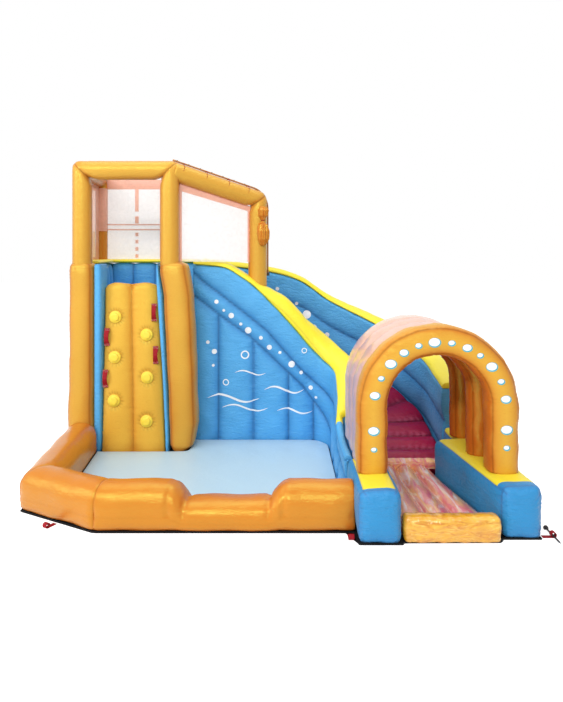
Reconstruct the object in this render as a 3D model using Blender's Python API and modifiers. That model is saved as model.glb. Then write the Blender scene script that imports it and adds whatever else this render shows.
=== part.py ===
"""Inflatable water park: a pool, a tower with a climbing wall, and a curved slide that ends
in a tunnel of arches. Metres, +Z up. The front of the park faces -Y."""

import math

import bmesh
import bpy
from mathutils import Matrix, Vector

# Clearances and cloth
GAP = 0.0003
SEAM = 0.004
MITRE_GAP = 0.001
SKIN = 0.018
SEAT_DEPTH = 0.02
SHEET = 0.004
SHEET_MARGIN = 0.006
SHEET_BEHIND = 0.02
FLOOR = SHEET + GAP

# Pool
POOL_WALL_HEIGHT = 0.29
POOL_WALL_WIDTH = 0.27
ENTRY_HEIGHT = 0.18
ENTRY_START = -0.47
ENTRY_END = 0.07
ENTRY_RAMP = 0.09
POOL_FLOOR_THICK = 0.03
POOL_FRONT_Y = -1.405
POOL_CORNER_FRONT_X = -1.03
POOL_CORNER_LEFT = (-1.545, -1.13)
POOL_LEFT_X = -1.63
POOL_TOWER_EDGE_X = -0.585

# Tower
TOWER_FRONT_Y = -0.03
TOWER_DEPTH = 0.27
COLUMN_TOP = 1.71
COLUMN_ROUNDING = 0.045
COLUMN_LEFT_LEVELS = (
    (0, -1.78, -1.545, 0.03), (0.05, -1.785, -1.545, 0), (0.3, -1.78, -1.545, 0),
    (0.9, -1.765, -1.545, 0), (1.6, -1.765, -1.545, 0), (1.68, -1.765, -1.545, 0.014),
)
COLUMN_RIGHT_LEVELS = (
    (0, -0.855, -0.69, 0.02), (0.06, -0.86, -0.645, 0), (0.25, -0.862, -0.613, 0),
    (0.84, -0.89, -0.63, 0), (1.4, -0.92, -0.655, 0), (1.6, -0.95, -0.69, 0),
    (1.68, -0.957, -0.70, 0.014),
)
CLIMB_LEFT_X = -1.467
CLIMB_RIGHT_EDGE = ((0, -0.9), (0.6, -0.925), (1.0, -0.95), (1.52, -0.985))
CLIMB_TOP = 1.52
CLIMB_LEAN = 0.1
CLIMB_SET_BACK = 0.01
CLIMB_ROUNDING = 0.045
CLIMB_THICK = 0.16
CLIMB_LOBE = 0.045
DECK_TOP = 1.2
DECK_THICK = 0.18
DECK_EDGE_X = -0.72
DECK_CLEAR = 0.05
LINING_TOP = 1.69
LINING_GAP = 0.008
LINING_FRONT_Y = 0.006
PLATFORM_BACK_Y = 1.2
TOWER_WALL_TOP = 1.68
TOWER_WALL_THICK = 0.2
TOWER_WALL_STRIDE = 0.2
WALL_SEAM = 0.005
SIDE_FRONT_X = -1.558
SIDE_BACK_X = -1.68
BACK_LEFT_X = -1.95
CAP_THICK = 0.03
CAP_LIFT = 0.006
CAP_OVERHANG = 0.008

# Frame tubes
FRAME_RADIUS = 0.085
FRAME_TOP = 2.537
FRAME_BEND = 0.1
FRAME_SEAM = 0.002
NET_CLEAR = 0.012
POST_LEFT_X = -1.657
POST_RIGHT_X = -0.865
POST_FRONT_Y = 0.07
REAR_TOP = 2.6
REAR_LEFT = (-1.87, 1.30)
REAR_RIGHT = (-1.10, 1.30)
WING_POST = (-0.086, 0.43)
WING_TOP = 2.3
WING_FOOT = 1.3
NET_HEM = 0.1
NET_STRAND = 0.016
NET_THICK = 0.004

# Slide
LANE_BACK_Y = 0.87
LANE_RIGHT_X = 1.195
LANE_WIDTH = 0.59
LANE_THICK = 0.1
LANE_BEND = 0.66
LANE_END_Y = -0.575
LANE_BANK = 0.07
BANK_START = 0.9
BANK_LENGTH = 1.4
PLEAT = 0.15
PLEAT_DEPTH = 0.022
SLIDE_LOW = 0.12
INNER_FACE_Y = 0.305
INNER_FACE_X = 0.575
INNER_START_X = -0.69
INNER_END_Y = -1.0
INNER_BEND = 0.2
INNER_HOLLOW = 1.7
OUTER_HOLLOW = 3.2
INNER_THICK = 0.25
INNER_THICK_SIDE = 0.3
INNER_THICK_END = 0.085
INNER_LEAN = 0.06
INNER_STEP = 0.07
INNER_CLEAR = 0.03
OUTER_THICK = 0.2
OUTER_CLEAR = 0.012
OUTER_END_Y = -0.28
WALL_TUBE = 0.24
WALL_FOOT = 0.08
WALL_BULGE = 0.035
CHAMBER = 0.24

# Run-out and tunnel
BOLSTER_HEIGHT = 0.33
BOLSTER_BACK_Y = -0.3
BOLSTER_ROUNDING = 0.03
BOLSTER_CLEAR = 0.025
LEFT_BOLSTER_X = (0.62, 0.885)
LEFT_BOLSTER_REAR_X = 0.675
LEFT_BOLSTER_FRONT_Y = -1.69
RIGHT_BOLSTER_X = (1.53, 1.78)
RIGHT_BOLSTER_MIDDLE_X = (1.345, 1.75)
RIGHT_BOLSTER_REAR_X = (1.51, 1.735)
RIGHT_BOLSTER_FRONT_Y = -1.62
ARCH_LEG = 0.44
ARCH_Y = -1.31
ARCH_CENTRE_X = 1.19
ARCH_RADIUS = 0.438
ARCH_TUBE = 0.104
RIB_CENTRE_X = 1.18
RIB_RADIUS = 0.41
RIB_TUBE = 0.095
RIB_MIDDLE_Y = -0.98
RIB_REAR_Y = -0.55
COVER_THICK = 0.01
COVER_CLEAR = 0.004
COVER_FRONT_Y = -1.19
COVER_BACK_Y = -0.45
COVER_BILLOW = 0.012
MAT_HEIGHT = 0.085
MAT_BACK_X = (0.93, 1.315)
MAT_FRONT_X = (0.905, 1.505)
MAT_FRONT_Y = -1.555
MAT_CHANNELS = 3
BUMPER_HEIGHT = 0.16
BUMPER_FRONT_Y = -1.68

# Small pieces
HOLD_RADIUS = 0.056
HOLD_DEPTH = 0.032
HOLD_SUNK = 0.004
HOLD_SPOTS = (
    (-1.355, 1.21), (-1.355, 0.85), (-1.355, 0.465), (-1.07, 1.05), (-1.06, 0.67), (-1.06, 0.285),
)
HANDLE_SPOTS = ((-1.428, 1.03), (-1.435, 0.66), (-1.005, 1.25), (-0.985, 0.87))
HANDLE_LENGTH = 0.16
HANDLE_WIDTH = 0.05
HANDLE_RISE = 0.028
HANDLE_CLEAR = 0.002
WEBBING = 0.004
HOSE_RADIUS = 0.008
HOSE_CLEAR = 0.008
HOSE_BEND = 0.06
HOSE_END_Z = 1.62
CONNECTOR_BORE = 0.005
CONNECTOR_WALL = 0.0055
CONNECTOR_LENGTH = 0.046
NUT_RADIUS = 0.018
NUT_CLEAR = 0.002
NUT_LENGTH = 0.032
SLEEVE_LENGTH = 0.38
SLEEVE_RADIUS = 0.048
SLEEVE_TOP = 2.235
SLEEVE_AT = math.radians(-60)
TIE_RADIUS = 0.0135
TIE_CORD = 0.003
STRAP_WIDTH = 0.038
STRAP_LENGTH = 0.07
LOOP_BORE = 0.014
STAKE_RADIUS = 0.006
STAKE_LENGTH = 0.22

# Blower, beside the slide's outer wall
BLOWER_AT = math.radians(49)
BLOWER_CLEAR = 0.357
BLOWER_TURN = math.radians(225)
BLOWER_RADIUS = 0.15
BLOWER_GROWTH = 0.03
BLOWER_WIDTH = 0.2
BLOWER_WALL = 0.008
BLOWER_FOOT = 0.02
FOOT_LENGTH = 0.04
BLOWER_PAD = 0.166
INTAKE_RADIUS = 0.085
SWITCH_LENGTH = 0.028
SWITCH_WIDTH = 0.02
SWITCH_HEIGHT = 0.009
SWITCH_TILT = math.radians(12)
HUB_RADIUS = 0.05
BLADE_LEAN = 0.075
IMPELLER_WIDTH = 0.14
GRILLE_SPOKES = 8
GRILLE_THICK = 0.006
SHAFT_RADIUS = 0.01
MOTOR_RADIUS = 0.055
MOTOR_LENGTH = 0.07
IMPELLER_RADIUS = 0.115
IMPELLER_BLADES = 14
NOZZLE_LENGTH = 0.19
NOZZLE_HEIGHT = 0.13
INLET_RADIUS = 0.064
INLET_LENGTH = 0.25

COLOURS = {
    "orange_cloth": (0.84, 0.35, 0.035, 1),
    "blue_cloth": (0.045, 0.3, 0.78, 1),
    "yellow_cloth": (0.95, 0.83, 0.03, 1),
    "pool_blue_cloth": (0.46, 0.67, 0.92, 1),
    "crimson_cloth": (0.37, 0.002, 0.03, 1),
    "salmon_film": (0.83, 0.35, 0.22, 1),
    "net": (0.86, 0.83, 0.83, 1),
    "red_webbing": (0.45, 0.0, 0.015, 1),
    "black_cloth": (0.012, 0.012, 0.014, 1),
    "clear_film": (0.72, 0.4, 0.55, 1),
    "gold_film": (0.75, 0.36, 0.06, 1),
    "hose_plastic": (0.5, 0.5, 0.52, 1),
    "blower_plastic": (0.05, 0.2, 0.5, 1),
    "dark_plastic": (0.02, 0.02, 0.022, 1),
}


def clear_scene():
    for thing in list(bpy.data.objects):
        bpy.data.objects.remove(thing)


def make_collection(name):
    collection = bpy.data.collections.new(name)
    bpy.context.scene.collection.children.link(collection)
    return collection


def make_material(name):
    found = bpy.data.materials.get(name)
    if found:
        return found
    made = bpy.data.materials.new(name)
    made.use_nodes = True
    shader = made.node_tree.nodes["Principled BSDF"]
    shader.inputs["Base Color"].default_value = COLOURS[name]
    shader.inputs["Roughness"].default_value = 0.5
    shader.inputs["Metallic"].default_value = 0.0
    return made


def place(obj, material):
    obj.data.materials.append(make_material(material))
    PARTS.objects.link(obj)
    return obj


def mesh_piece(name, bm, material, sharp=40):
    """An object from a closed bmesh, with its faces turned outwards and shaded smooth."""
    bmesh.ops.recalc_face_normals(bm, faces=bm.faces)
    mesh = bpy.data.meshes.new(name)
    bm.to_mesh(mesh)
    bm.free()
    mesh.shade_smooth()
    mesh.set_sharp_from_angle(angle=math.radians(sharp))
    return place(bpy.data.objects.new(name, mesh), material)


def loft(name, rings, material, sharp=40):
    """A closed body through rings of equally many points, capped at both ends. A cap's
    strips join the points of an even ring that face each other."""
    bm = bmesh.new()
    rows = [[bm.verts.new(point) for point in ring] for ring in rings]
    count = len(rows[0])
    for low, high in zip(rows, rows[1:]):
        for i in range(count):
            j = (i + 1) % count
            bm.faces.new((low[i], low[j], high[j], high[i]))
    for row in (rows[0], rows[-1]):
        if count % 2:
            bm.faces.new(row)
            continue
        for i in range(count // 2 - 1):
            bm.faces.new((row[i], row[i + 1], row[count - 2 - i], row[count - 1 - i]))
    return mesh_piece(name, bm, material, sharp)


def smooth_value(stations, s):
    """The height at s on a smooth line through (distance, height) stations."""
    if s <= stations[0][0]:
        return stations[0][1]
    for i in range(len(stations) - 1):
        (s0, v0), (s1, v1) = stations[i], stations[i + 1]
        if s <= s1:
            before = stations[max(i - 1, 0)]
            after = stations[min(i + 2, len(stations) - 1)]
            slope0 = (v1 - before[1]) / (s1 - before[0])
            slope1 = (after[1] - v0) / (after[0] - s0)
            t = (s - s0) / (s1 - s0)
            span = s1 - s0
            return (
                (2 * t**3 - 3 * t**2 + 1) * v0
                + (t**3 - 2 * t**2 + t) * span * slope0
                + (3 * t**2 - 2 * t**3) * v1
                + (t**3 - t**2) * span * slope1
            )
    return stations[-1][1]


def eased(t):
    """Zero below 0, one above 1 and a smooth rise between."""
    t = min(max(t, 0), 1)
    return t * t * (3 - 2 * t)


def rounded_route(corners, radius, arc_steps, stride=None):
    """Points along a polyline with rounded corners. A stride also splits the straight runs."""
    corners = [Vector(corner) for corner in corners]
    points = [corners[0]]
    for i in range(1, len(corners) - 1):
        here = corners[i]
        back = (corners[i - 1] - here).normalized()
        ahead = (corners[i + 1] - here).normalized()
        half = back.angle(ahead) / 2
        reach = radius / math.tan(half)
        centre = here + (back + ahead).normalized() * radius / math.sin(half)
        start = here + back * reach - centre
        sweep = math.pi - 2 * half
        turn = start.normalized()
        across = (here + ahead * reach - centre).normalized()
        across = (across - turn * turn.dot(across)).normalized()
        for k in range(arc_steps + 1):
            angle = sweep * k / arc_steps
            points.append(centre + radius * (turn * math.cos(angle) + across * math.sin(angle)))
    points.append(corners[-1])
    if not stride:
        return points
    fine = [points[0]]
    for low, high in zip(points, points[1:]):
        pieces = max(1, round((high - low).length / stride))
        fine += [low.lerp(high, k / pieces) for k in range(1, pieces + 1)]
    return fine


def stations_along(points):
    """(point, left-hand side, distance from the start) for each point of a flat route."""
    out = []
    distance = 0.0
    for i, point in enumerate(points):
        before = points[max(i - 1, 0)]
        after = points[min(i + 1, len(points) - 1)]
        ahead = (after - before).normalized()
        if i:
            distance += (point - before).length
        out.append((point, Vector((-ahead.y, ahead.x, 0)), distance))
    return out


def tube(name, points, radius, material, resolution=4):
    """A round tube along points, with filled caps."""
    curve = bpy.data.curves.new(name, "CURVE")
    curve.dimensions = "3D"
    curve.bevel_depth = radius
    curve.bevel_resolution = resolution
    curve.render_resolution_u = 0
    curve.use_fill_caps = True
    spline = curve.splines.new("POLY")
    spline.points.add(len(points) - 1)
    for spot, point in zip(spline.points, points):
        spot.co = (*point, 1)
    return place(bpy.data.objects.new(name, curve), material)


def plate(name, outlines, thick, material, matrix=None):
    """A flat outline with any holes, given thickness about its own plane."""
    curve = bpy.data.curves.new(name, "CURVE")
    curve.dimensions = "2D"
    curve.fill_mode = "BOTH"
    curve.extrude = thick / 2
    curve.render_resolution_u = 0
    for outline in outlines:
        spline = curve.splines.new("POLY")
        spline.points.add(len(outline) - 1)
        spline.use_cyclic_u = True
        for spot, point in zip(spline.points, outline):
            spot.co = (point[0], point[1], 0, 1)
    obj = place(bpy.data.objects.new(name, curve), material)
    if matrix:
        obj.matrix_world = matrix
    return obj


def as_mesh(obj):
    """The curve's own mesh with its caps welded, in its place."""
    bpy.context.view_layer.update()
    graph = bpy.context.evaluated_depsgraph_get()
    mesh = bpy.data.meshes.new_from_object(obj.evaluated_get(graph))
    bm = bmesh.new()
    bm.from_mesh(mesh)
    bmesh.ops.remove_doubles(bm, verts=bm.verts, dist=0.00001)
    bmesh.ops.recalc_face_normals(bm, faces=bm.faces)
    bm.to_mesh(mesh)
    bm.free()
    name = obj.name
    matrix = obj.matrix_world.copy()
    bpy.data.objects.remove(obj)
    made = bpy.data.objects.new(name, mesh)
    made.matrix_world = matrix
    PARTS.objects.link(made)
    return made


def as_cutter(obj):
    """Moves an object among the cutters, which aren't part of the park."""
    obj.name = "cutter_" + obj.name
    PARTS.objects.unlink(obj)
    CUTTERS.objects.link(obj)
    obj.hide_render = True
    obj.display_type = "WIRE"
    return obj


def cut(obj, cutter, solver="EXACT"):
    modifier = obj.modifiers.new("cut", "BOOLEAN")
    modifier.operation = "DIFFERENCE"
    modifier.solver = solver
    modifier.object = cutter
    return obj


def soft_box(width, height, power=3.2, count=16):
    """A plump rectangle as (across, up) points, its lowest side on zero."""
    points = []
    for i in range(count):
        angle = math.tau * (i + 0.5) / count
        c, s = math.cos(angle), math.sin(angle)
        across = math.copysign(abs(c) ** (2 / power), c) * width / 2
        up = math.copysign(abs(s) ** (2 / power), s) * height / 2
        points.append((across, up + height / 2))
    return points


def seated(points, low=SEAT_DEPTH):
    """Flattens the underside of a section onto what it stands on."""
    return [(across, 0.0 if up < low else up) for across, up in points]


def sweep(name, route, section, material, hollow_from=None, hollow_to=None, grow=0.0):
    """A body along a flat route. section(s) gives (across, up) points, across to the left.
    A hollow runs between the two distances, open at the start of the route."""
    def ring(point, side, s, inset):
        points = section(s)
        middle_u = (min(p[0] for p in points) + max(p[0] for p in points)) / 2
        middle_v = (min(p[1] for p in points) + max(p[1] for p in points)) / 2
        half_u = max(p[0] for p in points) - middle_u
        half_v = max(p[1] for p in points) - middle_v
        scale_u = (half_u - inset) / half_u
        scale_v = (half_v - inset) / half_v
        out = []
        for u, v in points:
            across = middle_u + (u - middle_u) * scale_u
            up = middle_v + (v - middle_v) * scale_v
            out.append(point + side * across + Vector((0, 0, up)))
        return out

    stations = stations_along(route)
    rings = [ring(point, side, s, -grow) for point, side, s in stations]
    if hollow_from is not None:
        inside = [st for st in stations if hollow_from <= st[2] <= hollow_to]
        inside = inside[:-1:2] + inside[-1:]
        rings = [ring(point, side, s, SKIN) for point, side, s in reversed(inside)] + rings
    return loft(name, rings, material)


def flat(points):
    return [Vector((x, y, 0)) for x, y in points]


# Pool

def mitred_wall(name, start, end, cut_start, cut_end, height, material, hollow=True):
    """A pool wall from start to end, its ends turned to the mitre directions."""
    start, end = Vector((*start, 0)), Vector((*end, 0))
    run = end - start
    along = run.normalized()
    side = Vector((-along.y, along.x, 0))
    length = run.length

    def ring(t, inset):
        points = seated(soft_box(POOL_WALL_WIDTH, height(t * length), 2.7))
        out = []
        for u, v in points:
            scale = 1 - 2 * inset / POOL_WALL_WIDTH
            u *= scale
            top = height(t * length)
            v = top / 2 + (v - top / 2) * (1 - 2 * inset / top)
            slant = cut_start * u * (1 - t) + cut_end * u * t
            out.append(start + along * (length * t + slant) + side * u + Vector((0, 0, FLOOR + v)))
        return out

    marks = [0, 0.5, 1]
    if name == "pool_wall_front":
        ramp = ENTRY_RAMP / length
        low = (ENTRY_START - start.x) / length
        high = (ENTRY_END - start.x) / length
        marks = [0, low / 2, low - ramp, low - ramp / 2, low, (low + high) / 2, high]
        marks += [high + ramp / 2, high + ramp, 1]
    rings = [ring(t, 0) for t in marks]
    if hollow:
        inside = [t for t in marks if t < 1] + [1 - SKIN / length]
        rings = [ring(t, SKIN) for t in reversed(inside)] + rings
    return loft(name, rings, material)


def make_pool():
    left_back = (POOL_LEFT_X, TOWER_FRONT_Y - SEAM)
    left = POOL_CORNER_LEFT
    front_left = (POOL_CORNER_FRONT_X, POOL_FRONT_Y)
    front_right = (LEFT_BOLSTER_X[0] - SEAM, POOL_FRONT_Y)

    def lean(a, b, c):
        before = (Vector(b) - Vector(a)).normalized()
        after = (Vector(c) - Vector(b)).normalized()
        return math.tan(before.angle_signed(after) / 2)

    def level(s):
        return POOL_WALL_HEIGHT

    def entry(s):
        x = POOL_CORNER_FRONT_X + s
        into = min(max((x - ENTRY_START + ENTRY_RAMP) / ENTRY_RAMP, 0), 1)
        out_of = min(max((ENTRY_END + ENTRY_RAMP - x) / ENTRY_RAMP, 0), 1)
        return POOL_WALL_HEIGHT - (POOL_WALL_HEIGHT - ENTRY_HEIGHT) * min(into, out_of)

    def trimmed(a, b, at_start, at_end):
        a, b = Vector(a), Vector(b)
        along = (b - a).normalized() * MITRE_GAP
        return (a + along * at_start), (b - along * at_end)

    turn_left = lean(left_back, left, front_left)
    turn_front = lean(left, front_left, front_right)
    a, b = trimmed(left_back, left, 0, 1)
    mitred_wall("pool_wall_left", a, b, 0, turn_left, level, "orange_cloth")
    a, b = trimmed(left, front_left, 1, 1)
    mitred_wall("pool_wall_corner", a, b, -turn_left, turn_front, level, "orange_cloth")
    a, b = trimmed(front_left, front_right, 1, 0)
    mitred_wall("pool_wall_front", a, b, -turn_front, 0, entry, "orange_cloth")

    inset = POOL_WALL_WIDTH / 2 + SEAM / 2
    right = INNER_FACE_X - SEAM / 2
    back = INNER_FACE_Y - SEAM / 2
    outline = [
        (left_back[0] + inset, left_back[1]),
        (left[0] + inset, left[1] + inset * 0.6),
        (front_left[0] + inset * 0.3, front_left[1] + inset),
        (right, front_left[1] + inset),
        (right, back - INNER_BEND),
        (right - INNER_BEND * 0.3, back - INNER_BEND * 0.3),
        (right - INNER_BEND, back),
        (POOL_TOWER_EDGE_X, back),
        (POOL_TOWER_EDGE_X, left_back[1]),
    ]
    floor = plate("pool_floor", [outline], POOL_FLOOR_THICK, "pool_blue_cloth")
    floor.location.z = FLOOR + POOL_FLOOR_THICK / 2


def make_ground_sheet():
    margin = SHEET_MARGIN
    outer = LANE_WIDTH / 2 + OUTER_CLEAR + OUTER_THICK + SHEET_BEHIND
    bend = LANE_BEND + outer
    centre = (LANE_RIGHT_X - LANE_BEND, LANE_BACK_Y - LANE_BEND)
    arc = []
    for k in range(9):
        angle = math.pi / 2 * k / 8
        arc.append((centre[0] + bend * math.cos(angle), centre[1] + bend * math.sin(angle)))
    half = POOL_WALL_WIDTH / 2 + margin
    pool_front = POOL_FRONT_Y - half
    left_bolster = LEFT_BOLSTER_X[0] - margin
    right = RIGHT_BOLSTER_X[1] + margin
    right_front = RIGHT_BOLSTER_FRONT_Y - margin
    outline = [
        (POOL_LEFT_X - half - SHEET_BEHIND, TOWER_FRONT_Y),
        (POOL_CORNER_LEFT[0] - half, POOL_CORNER_LEFT[1] - half * 0.55),
        (POOL_CORNER_FRONT_X - half * 0.35, pool_front),
        (left_bolster - SEAM, pool_front),
        (left_bolster, LEFT_BOLSTER_FRONT_Y - margin),
        (LEFT_BOLSTER_X[1] + SHEET_BEHIND, LEFT_BOLSTER_FRONT_Y - margin),
        (RIGHT_BOLSTER_X[0] - SHEET_BEHIND, BUMPER_FRONT_Y - margin / 2),
        (RIGHT_BOLSTER_X[0], right_front),
        (right, right_front),
        (RIGHT_BOLSTER_REAR_X[1] + margin, BOLSTER_BACK_Y),
        *arc,
        (BACK_LEFT_X - SHEET_BEHIND, LANE_BACK_Y + outer),
    ]
    sheet = plate("ground_sheet", [outline], SHEET, "black_cloth")
    sheet.location.z = SHEET / 2


# Tower

def column(name, levels, front, back, material):
    """A plump column through (height, left, right, inset) levels."""
    rings = []
    for height, left, right, inset in levels:
        middle = (left + right) / 2
        depth_middle = (front + back) / 2
        ring = []
        for i in range(16):
            angle = math.tau * (i + 0.5) / 16
            c, s = math.cos(angle), math.sin(angle)
            x = math.copysign(abs(c) ** 0.55, c) * ((right - left) / 2 - inset)
            y = math.copysign(abs(s) ** 0.55, s) * ((back - front) / 2 - inset)
            ring.append((middle + x, depth_middle + y, FLOOR + height))
        rings.append(ring)
    return loft(name, rings, material)


def climb_width(height):
    """Left and right edges of the climbing wall at a height."""
    return CLIMB_LEFT_X, smooth_value(CLIMB_RIGHT_EDGE, height)


def climb_front(x, height):
    """The climbing wall's front surface, two lobes beside a sewn seam."""
    left, right = climb_width(height)
    across = min(max((x - left) / (right - left), 0), 1)
    lobe = abs(math.sin(math.tau * across)) ** 0.6
    lean = CLIMB_LEAN * height / CLIMB_TOP
    return TOWER_FRONT_Y + CLIMB_SET_BACK + lean + CLIMB_LOBE * (1 - lobe)


def climb_rings(grow=0.0):
    steps = 16
    heights = [CLIMB_TOP * share for share in (0, 0.05, 0.2, 0.4, 0.6, 0.8, 0.92, 0.98, 1)]
    rings = []
    for k, height in enumerate(heights):
        left, right = climb_width(height)
        pull = CLIMB_ROUNDING if k == len(heights) - 1 else 0.0
        ring = []
        for i in range(steps + 1):
            across = i / steps
            x = left - grow + (right - left + 2 * grow) * across
            lobe = abs(math.sin(math.tau * across)) ** 0.6
            top = height * (1 - 0.03 * (1 - lobe))
            y = climb_front(x, height) + pull - grow
            ring.append((x, y, FLOOR + top + (grow if k else -grow)))
        back = TOWER_FRONT_Y + CLIMB_SET_BACK + CLIMB_LEAN * height / CLIMB_TOP + CLIMB_THICK - pull
        for x, y, z in ring[::-1]:
            ring.append((x, back + grow, z))
        rings.append(ring)
    return rings


def make_climbing_wall():
    loft("climbing_wall", climb_rings(), "orange_cloth", sharp=60)
    cutter = as_cutter(loft("climb", climb_rings(GAP), "orange_cloth"))
    for k, (x, z) in enumerate(HOLD_SPOTS):
        bm = bmesh.new()
        bmesh.ops.create_uvsphere(bm, u_segments=14, v_segments=8, radius=1)
        size = Matrix.Diagonal((HOLD_RADIUS, HOLD_RADIUS, HOLD_DEPTH, 1))
        turn = Matrix.Rotation(math.radians(90), 4, "X")
        spot = Matrix.Translation((x, climb_front(x, z) + HOLD_SUNK, FLOOR + z))
        bmesh.ops.transform(bm, matrix=spot @ turn @ size, verts=bm.verts)
        cut(mesh_piece(f"hold_{k + 1}", bm, "yellow_cloth"), cutter)
    for k, (x, z) in enumerate(HANDLE_SPOTS):
        handle(f"handle_{k + 1}", x, z)


def handle(name, x, z):
    """A grab handle of webbing, sewn flat at both ends and bowed between."""
    half = HANDLE_WIDTH / 2
    spots = [(x + a * half, z + b * HANDLE_LENGTH / 2) for a in (-1, 0, 1) for b in (-1, 0, 1)]
    y = min(climb_front(*spot) for spot in spots) - HANDLE_CLEAR
    rings = []
    for k in range(9):
        t = k / 8
        rise = HANDLE_RISE * math.sin(math.pi * min(max((t - 0.12) / 0.76, 0), 1)) ** 0.8
        up = FLOOR + z + (t - 0.5) * HANDLE_LENGTH
        waist = 1 - 0.2 * math.sin(math.pi * t)
        front = y - rise - WEBBING
        ring = [(x - half * waist, front, up), (x + half * waist, front, up)]
        ring += [(x + half * waist, front + WEBBING, up), (x - half * waist, front + WEBBING, up)]
        rings.append(ring)
    loft(name, rings, "red_webbing")


def make_tower():
    back = TOWER_FRONT_Y + TOWER_DEPTH
    for name, levels in (("left", COLUMN_LEFT_LEVELS), ("right", COLUMN_RIGHT_LEVELS)):
        crown = (COLUMN_TOP - FLOOR, levels[-1][1], levels[-1][2], COLUMN_ROUNDING)
        column(f"tower_column_{name}", (*levels, crown), TOWER_FRONT_Y, back, "orange_cloth")
    make_climbing_wall()

    def lining(name, edges):
        rings = []
        for share in (0, 0.35, 0.7, 0.9, 1):
            height = LINING_TOP * share
            low, high = edges(height)
            corners = ((low, LINING_FRONT_Y), (high, LINING_FRONT_Y), (high, back), (low, back))
            rings.append([(x, y, FLOOR + height) for x, y in corners])
        loft(name, rings, "blue_cloth")

    def column_edge(levels, side, height):
        return smooth_value([(level[0], level[side]) for level in levels], height)

    def left_edges(height):
        edge = column_edge(COLUMN_LEFT_LEVELS, 2, height)
        return edge + LINING_GAP, CLIMB_LEFT_X - LINING_GAP

    def right_edges(height):
        edge = column_edge(COLUMN_RIGHT_LEVELS, 1, height)
        return climb_width(min(height, CLIMB_TOP))[1] + LINING_GAP, edge - LINING_GAP

    lining("lining_left", left_edges)
    lining("lining_right", right_edges)

    front = back + DECK_CLEAR
    rear = PLATFORM_BACK_Y - WALL_SEAM
    outline = [(SIDE_FRONT_X + WALL_SEAM, front), (DECK_EDGE_X, front)]
    outline += [(DECK_EDGE_X, rear), (SIDE_BACK_X + WALL_SEAM, rear)]
    deck = plate("deck", [outline], DECK_THICK, "blue_cloth")
    deck.location.z = DECK_TOP - DECK_THICK / 2

    def wall(s):
        return [(u + TOWER_WALL_THICK / 2, v + FLOOR)
                for u, v in seated(soft_box(TOWER_WALL_THICK, TOWER_WALL_TOP - FLOOR, 9))]

    lean = math.atan2(SIDE_FRONT_X - SIDE_BACK_X, PLATFORM_BACK_Y - back)
    start_y = back + TOWER_WALL_THICK * math.sin(lean) + WALL_SEAM
    corners = flat([(SIDE_FRONT_X, start_y), (SIDE_BACK_X, PLATFORM_BACK_Y - WALL_SEAM)])
    route = rounded_route(corners, 0, 1, TOWER_WALL_STRIDE)
    length = (route[-1] - route[0]).length
    route.insert(-1, route[-1].lerp(route[0], SKIN / length))
    sweep("tower_wall_left", route, wall, "blue_cloth", 0, length - SKIN)
    end = DECK_EDGE_X - WALL_SEAM
    length = end - BACK_LEFT_X
    corners = flat([(BACK_LEFT_X, PLATFORM_BACK_Y), (end, PLATFORM_BACK_Y)])
    route = rounded_route(corners, 0, 1, TOWER_WALL_STRIDE)
    route.insert(1, route[0].lerp(route[-1], SKIN / length))
    sweep("tower_wall_back", route, wall, "blue_cloth", SKIN * 0.9, length)

    over = CAP_OVERHANG
    thick = TOWER_WALL_THICK + over
    outline = [
        (SIDE_FRONT_X + over, back + WALL_SEAM),
        (SIDE_BACK_X + over, PLATFORM_BACK_Y - over),
        (end, PLATFORM_BACK_Y - over),
        (end, PLATFORM_BACK_Y + thick),
        (BACK_LEFT_X - over, PLATFORM_BACK_Y + thick),
        (BACK_LEFT_X - over, PLATFORM_BACK_Y - over),
        (SIDE_FRONT_X - thick, back + WALL_SEAM),
    ]
    cap = plate("tower_cap", [outline], CAP_THICK, "yellow_cloth")
    cap.location.z = TOWER_WALL_TOP + CAP_LIFT + CAP_THICK / 2


# Frame tubes and nets

def make_frame():
    foot = COLUMN_TOP + GAP
    left = (POST_LEFT_X, POST_FRONT_Y)
    right = (POST_RIGHT_X, POST_FRONT_Y)
    front = [(*left, foot), (*left, FRAME_TOP), (*right, FRAME_TOP), (*right, foot)]
    rear_foot = TOWER_WALL_TOP + CAP_LIFT + CAP_THICK + GAP
    back_left = [(*left, FRAME_TOP), (*REAR_LEFT, REAR_TOP), (*REAR_LEFT, rear_foot)]
    back_right = [(*right, FRAME_TOP), (*REAR_RIGHT, REAR_TOP), (*REAR_RIGHT, rear_foot)]
    wing = [(*right, FRAME_TOP), (*WING_POST, WING_TOP), (*WING_POST, WING_FOOT)]

    def bent(name, corners, grow=0.0):
        route = rounded_route(corners, FRAME_BEND, 4)
        return as_mesh(tube(name, route, FRAME_RADIUS + grow, "orange_cloth"))

    bent("front_frame", front)
    frame_cutter = as_cutter(bent("frame", front, FRAME_SEAM))
    back_out = (Vector(wing[0]) - Vector(wing[1])).normalized() * FRAME_RADIUS
    longer = [Vector(wing[0]) + back_out] + wing[1:]
    wing_cutter = as_cutter(bent("wing", longer, FRAME_SEAM))
    cut(bent("left_frame", back_left), frame_cutter)
    right_frame = cut(bent("right_frame", back_right), frame_cutter, "MANIFOLD")
    cut(right_frame, wing_cutter, "MANIFOLD")
    wing_frame = cut(bent("wing_frame", wing), frame_cutter)
    slope = sweep("slope", inner_route(), slope_section, "orange_cloth")
    cut(wing_frame, as_cutter(slope))


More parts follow.
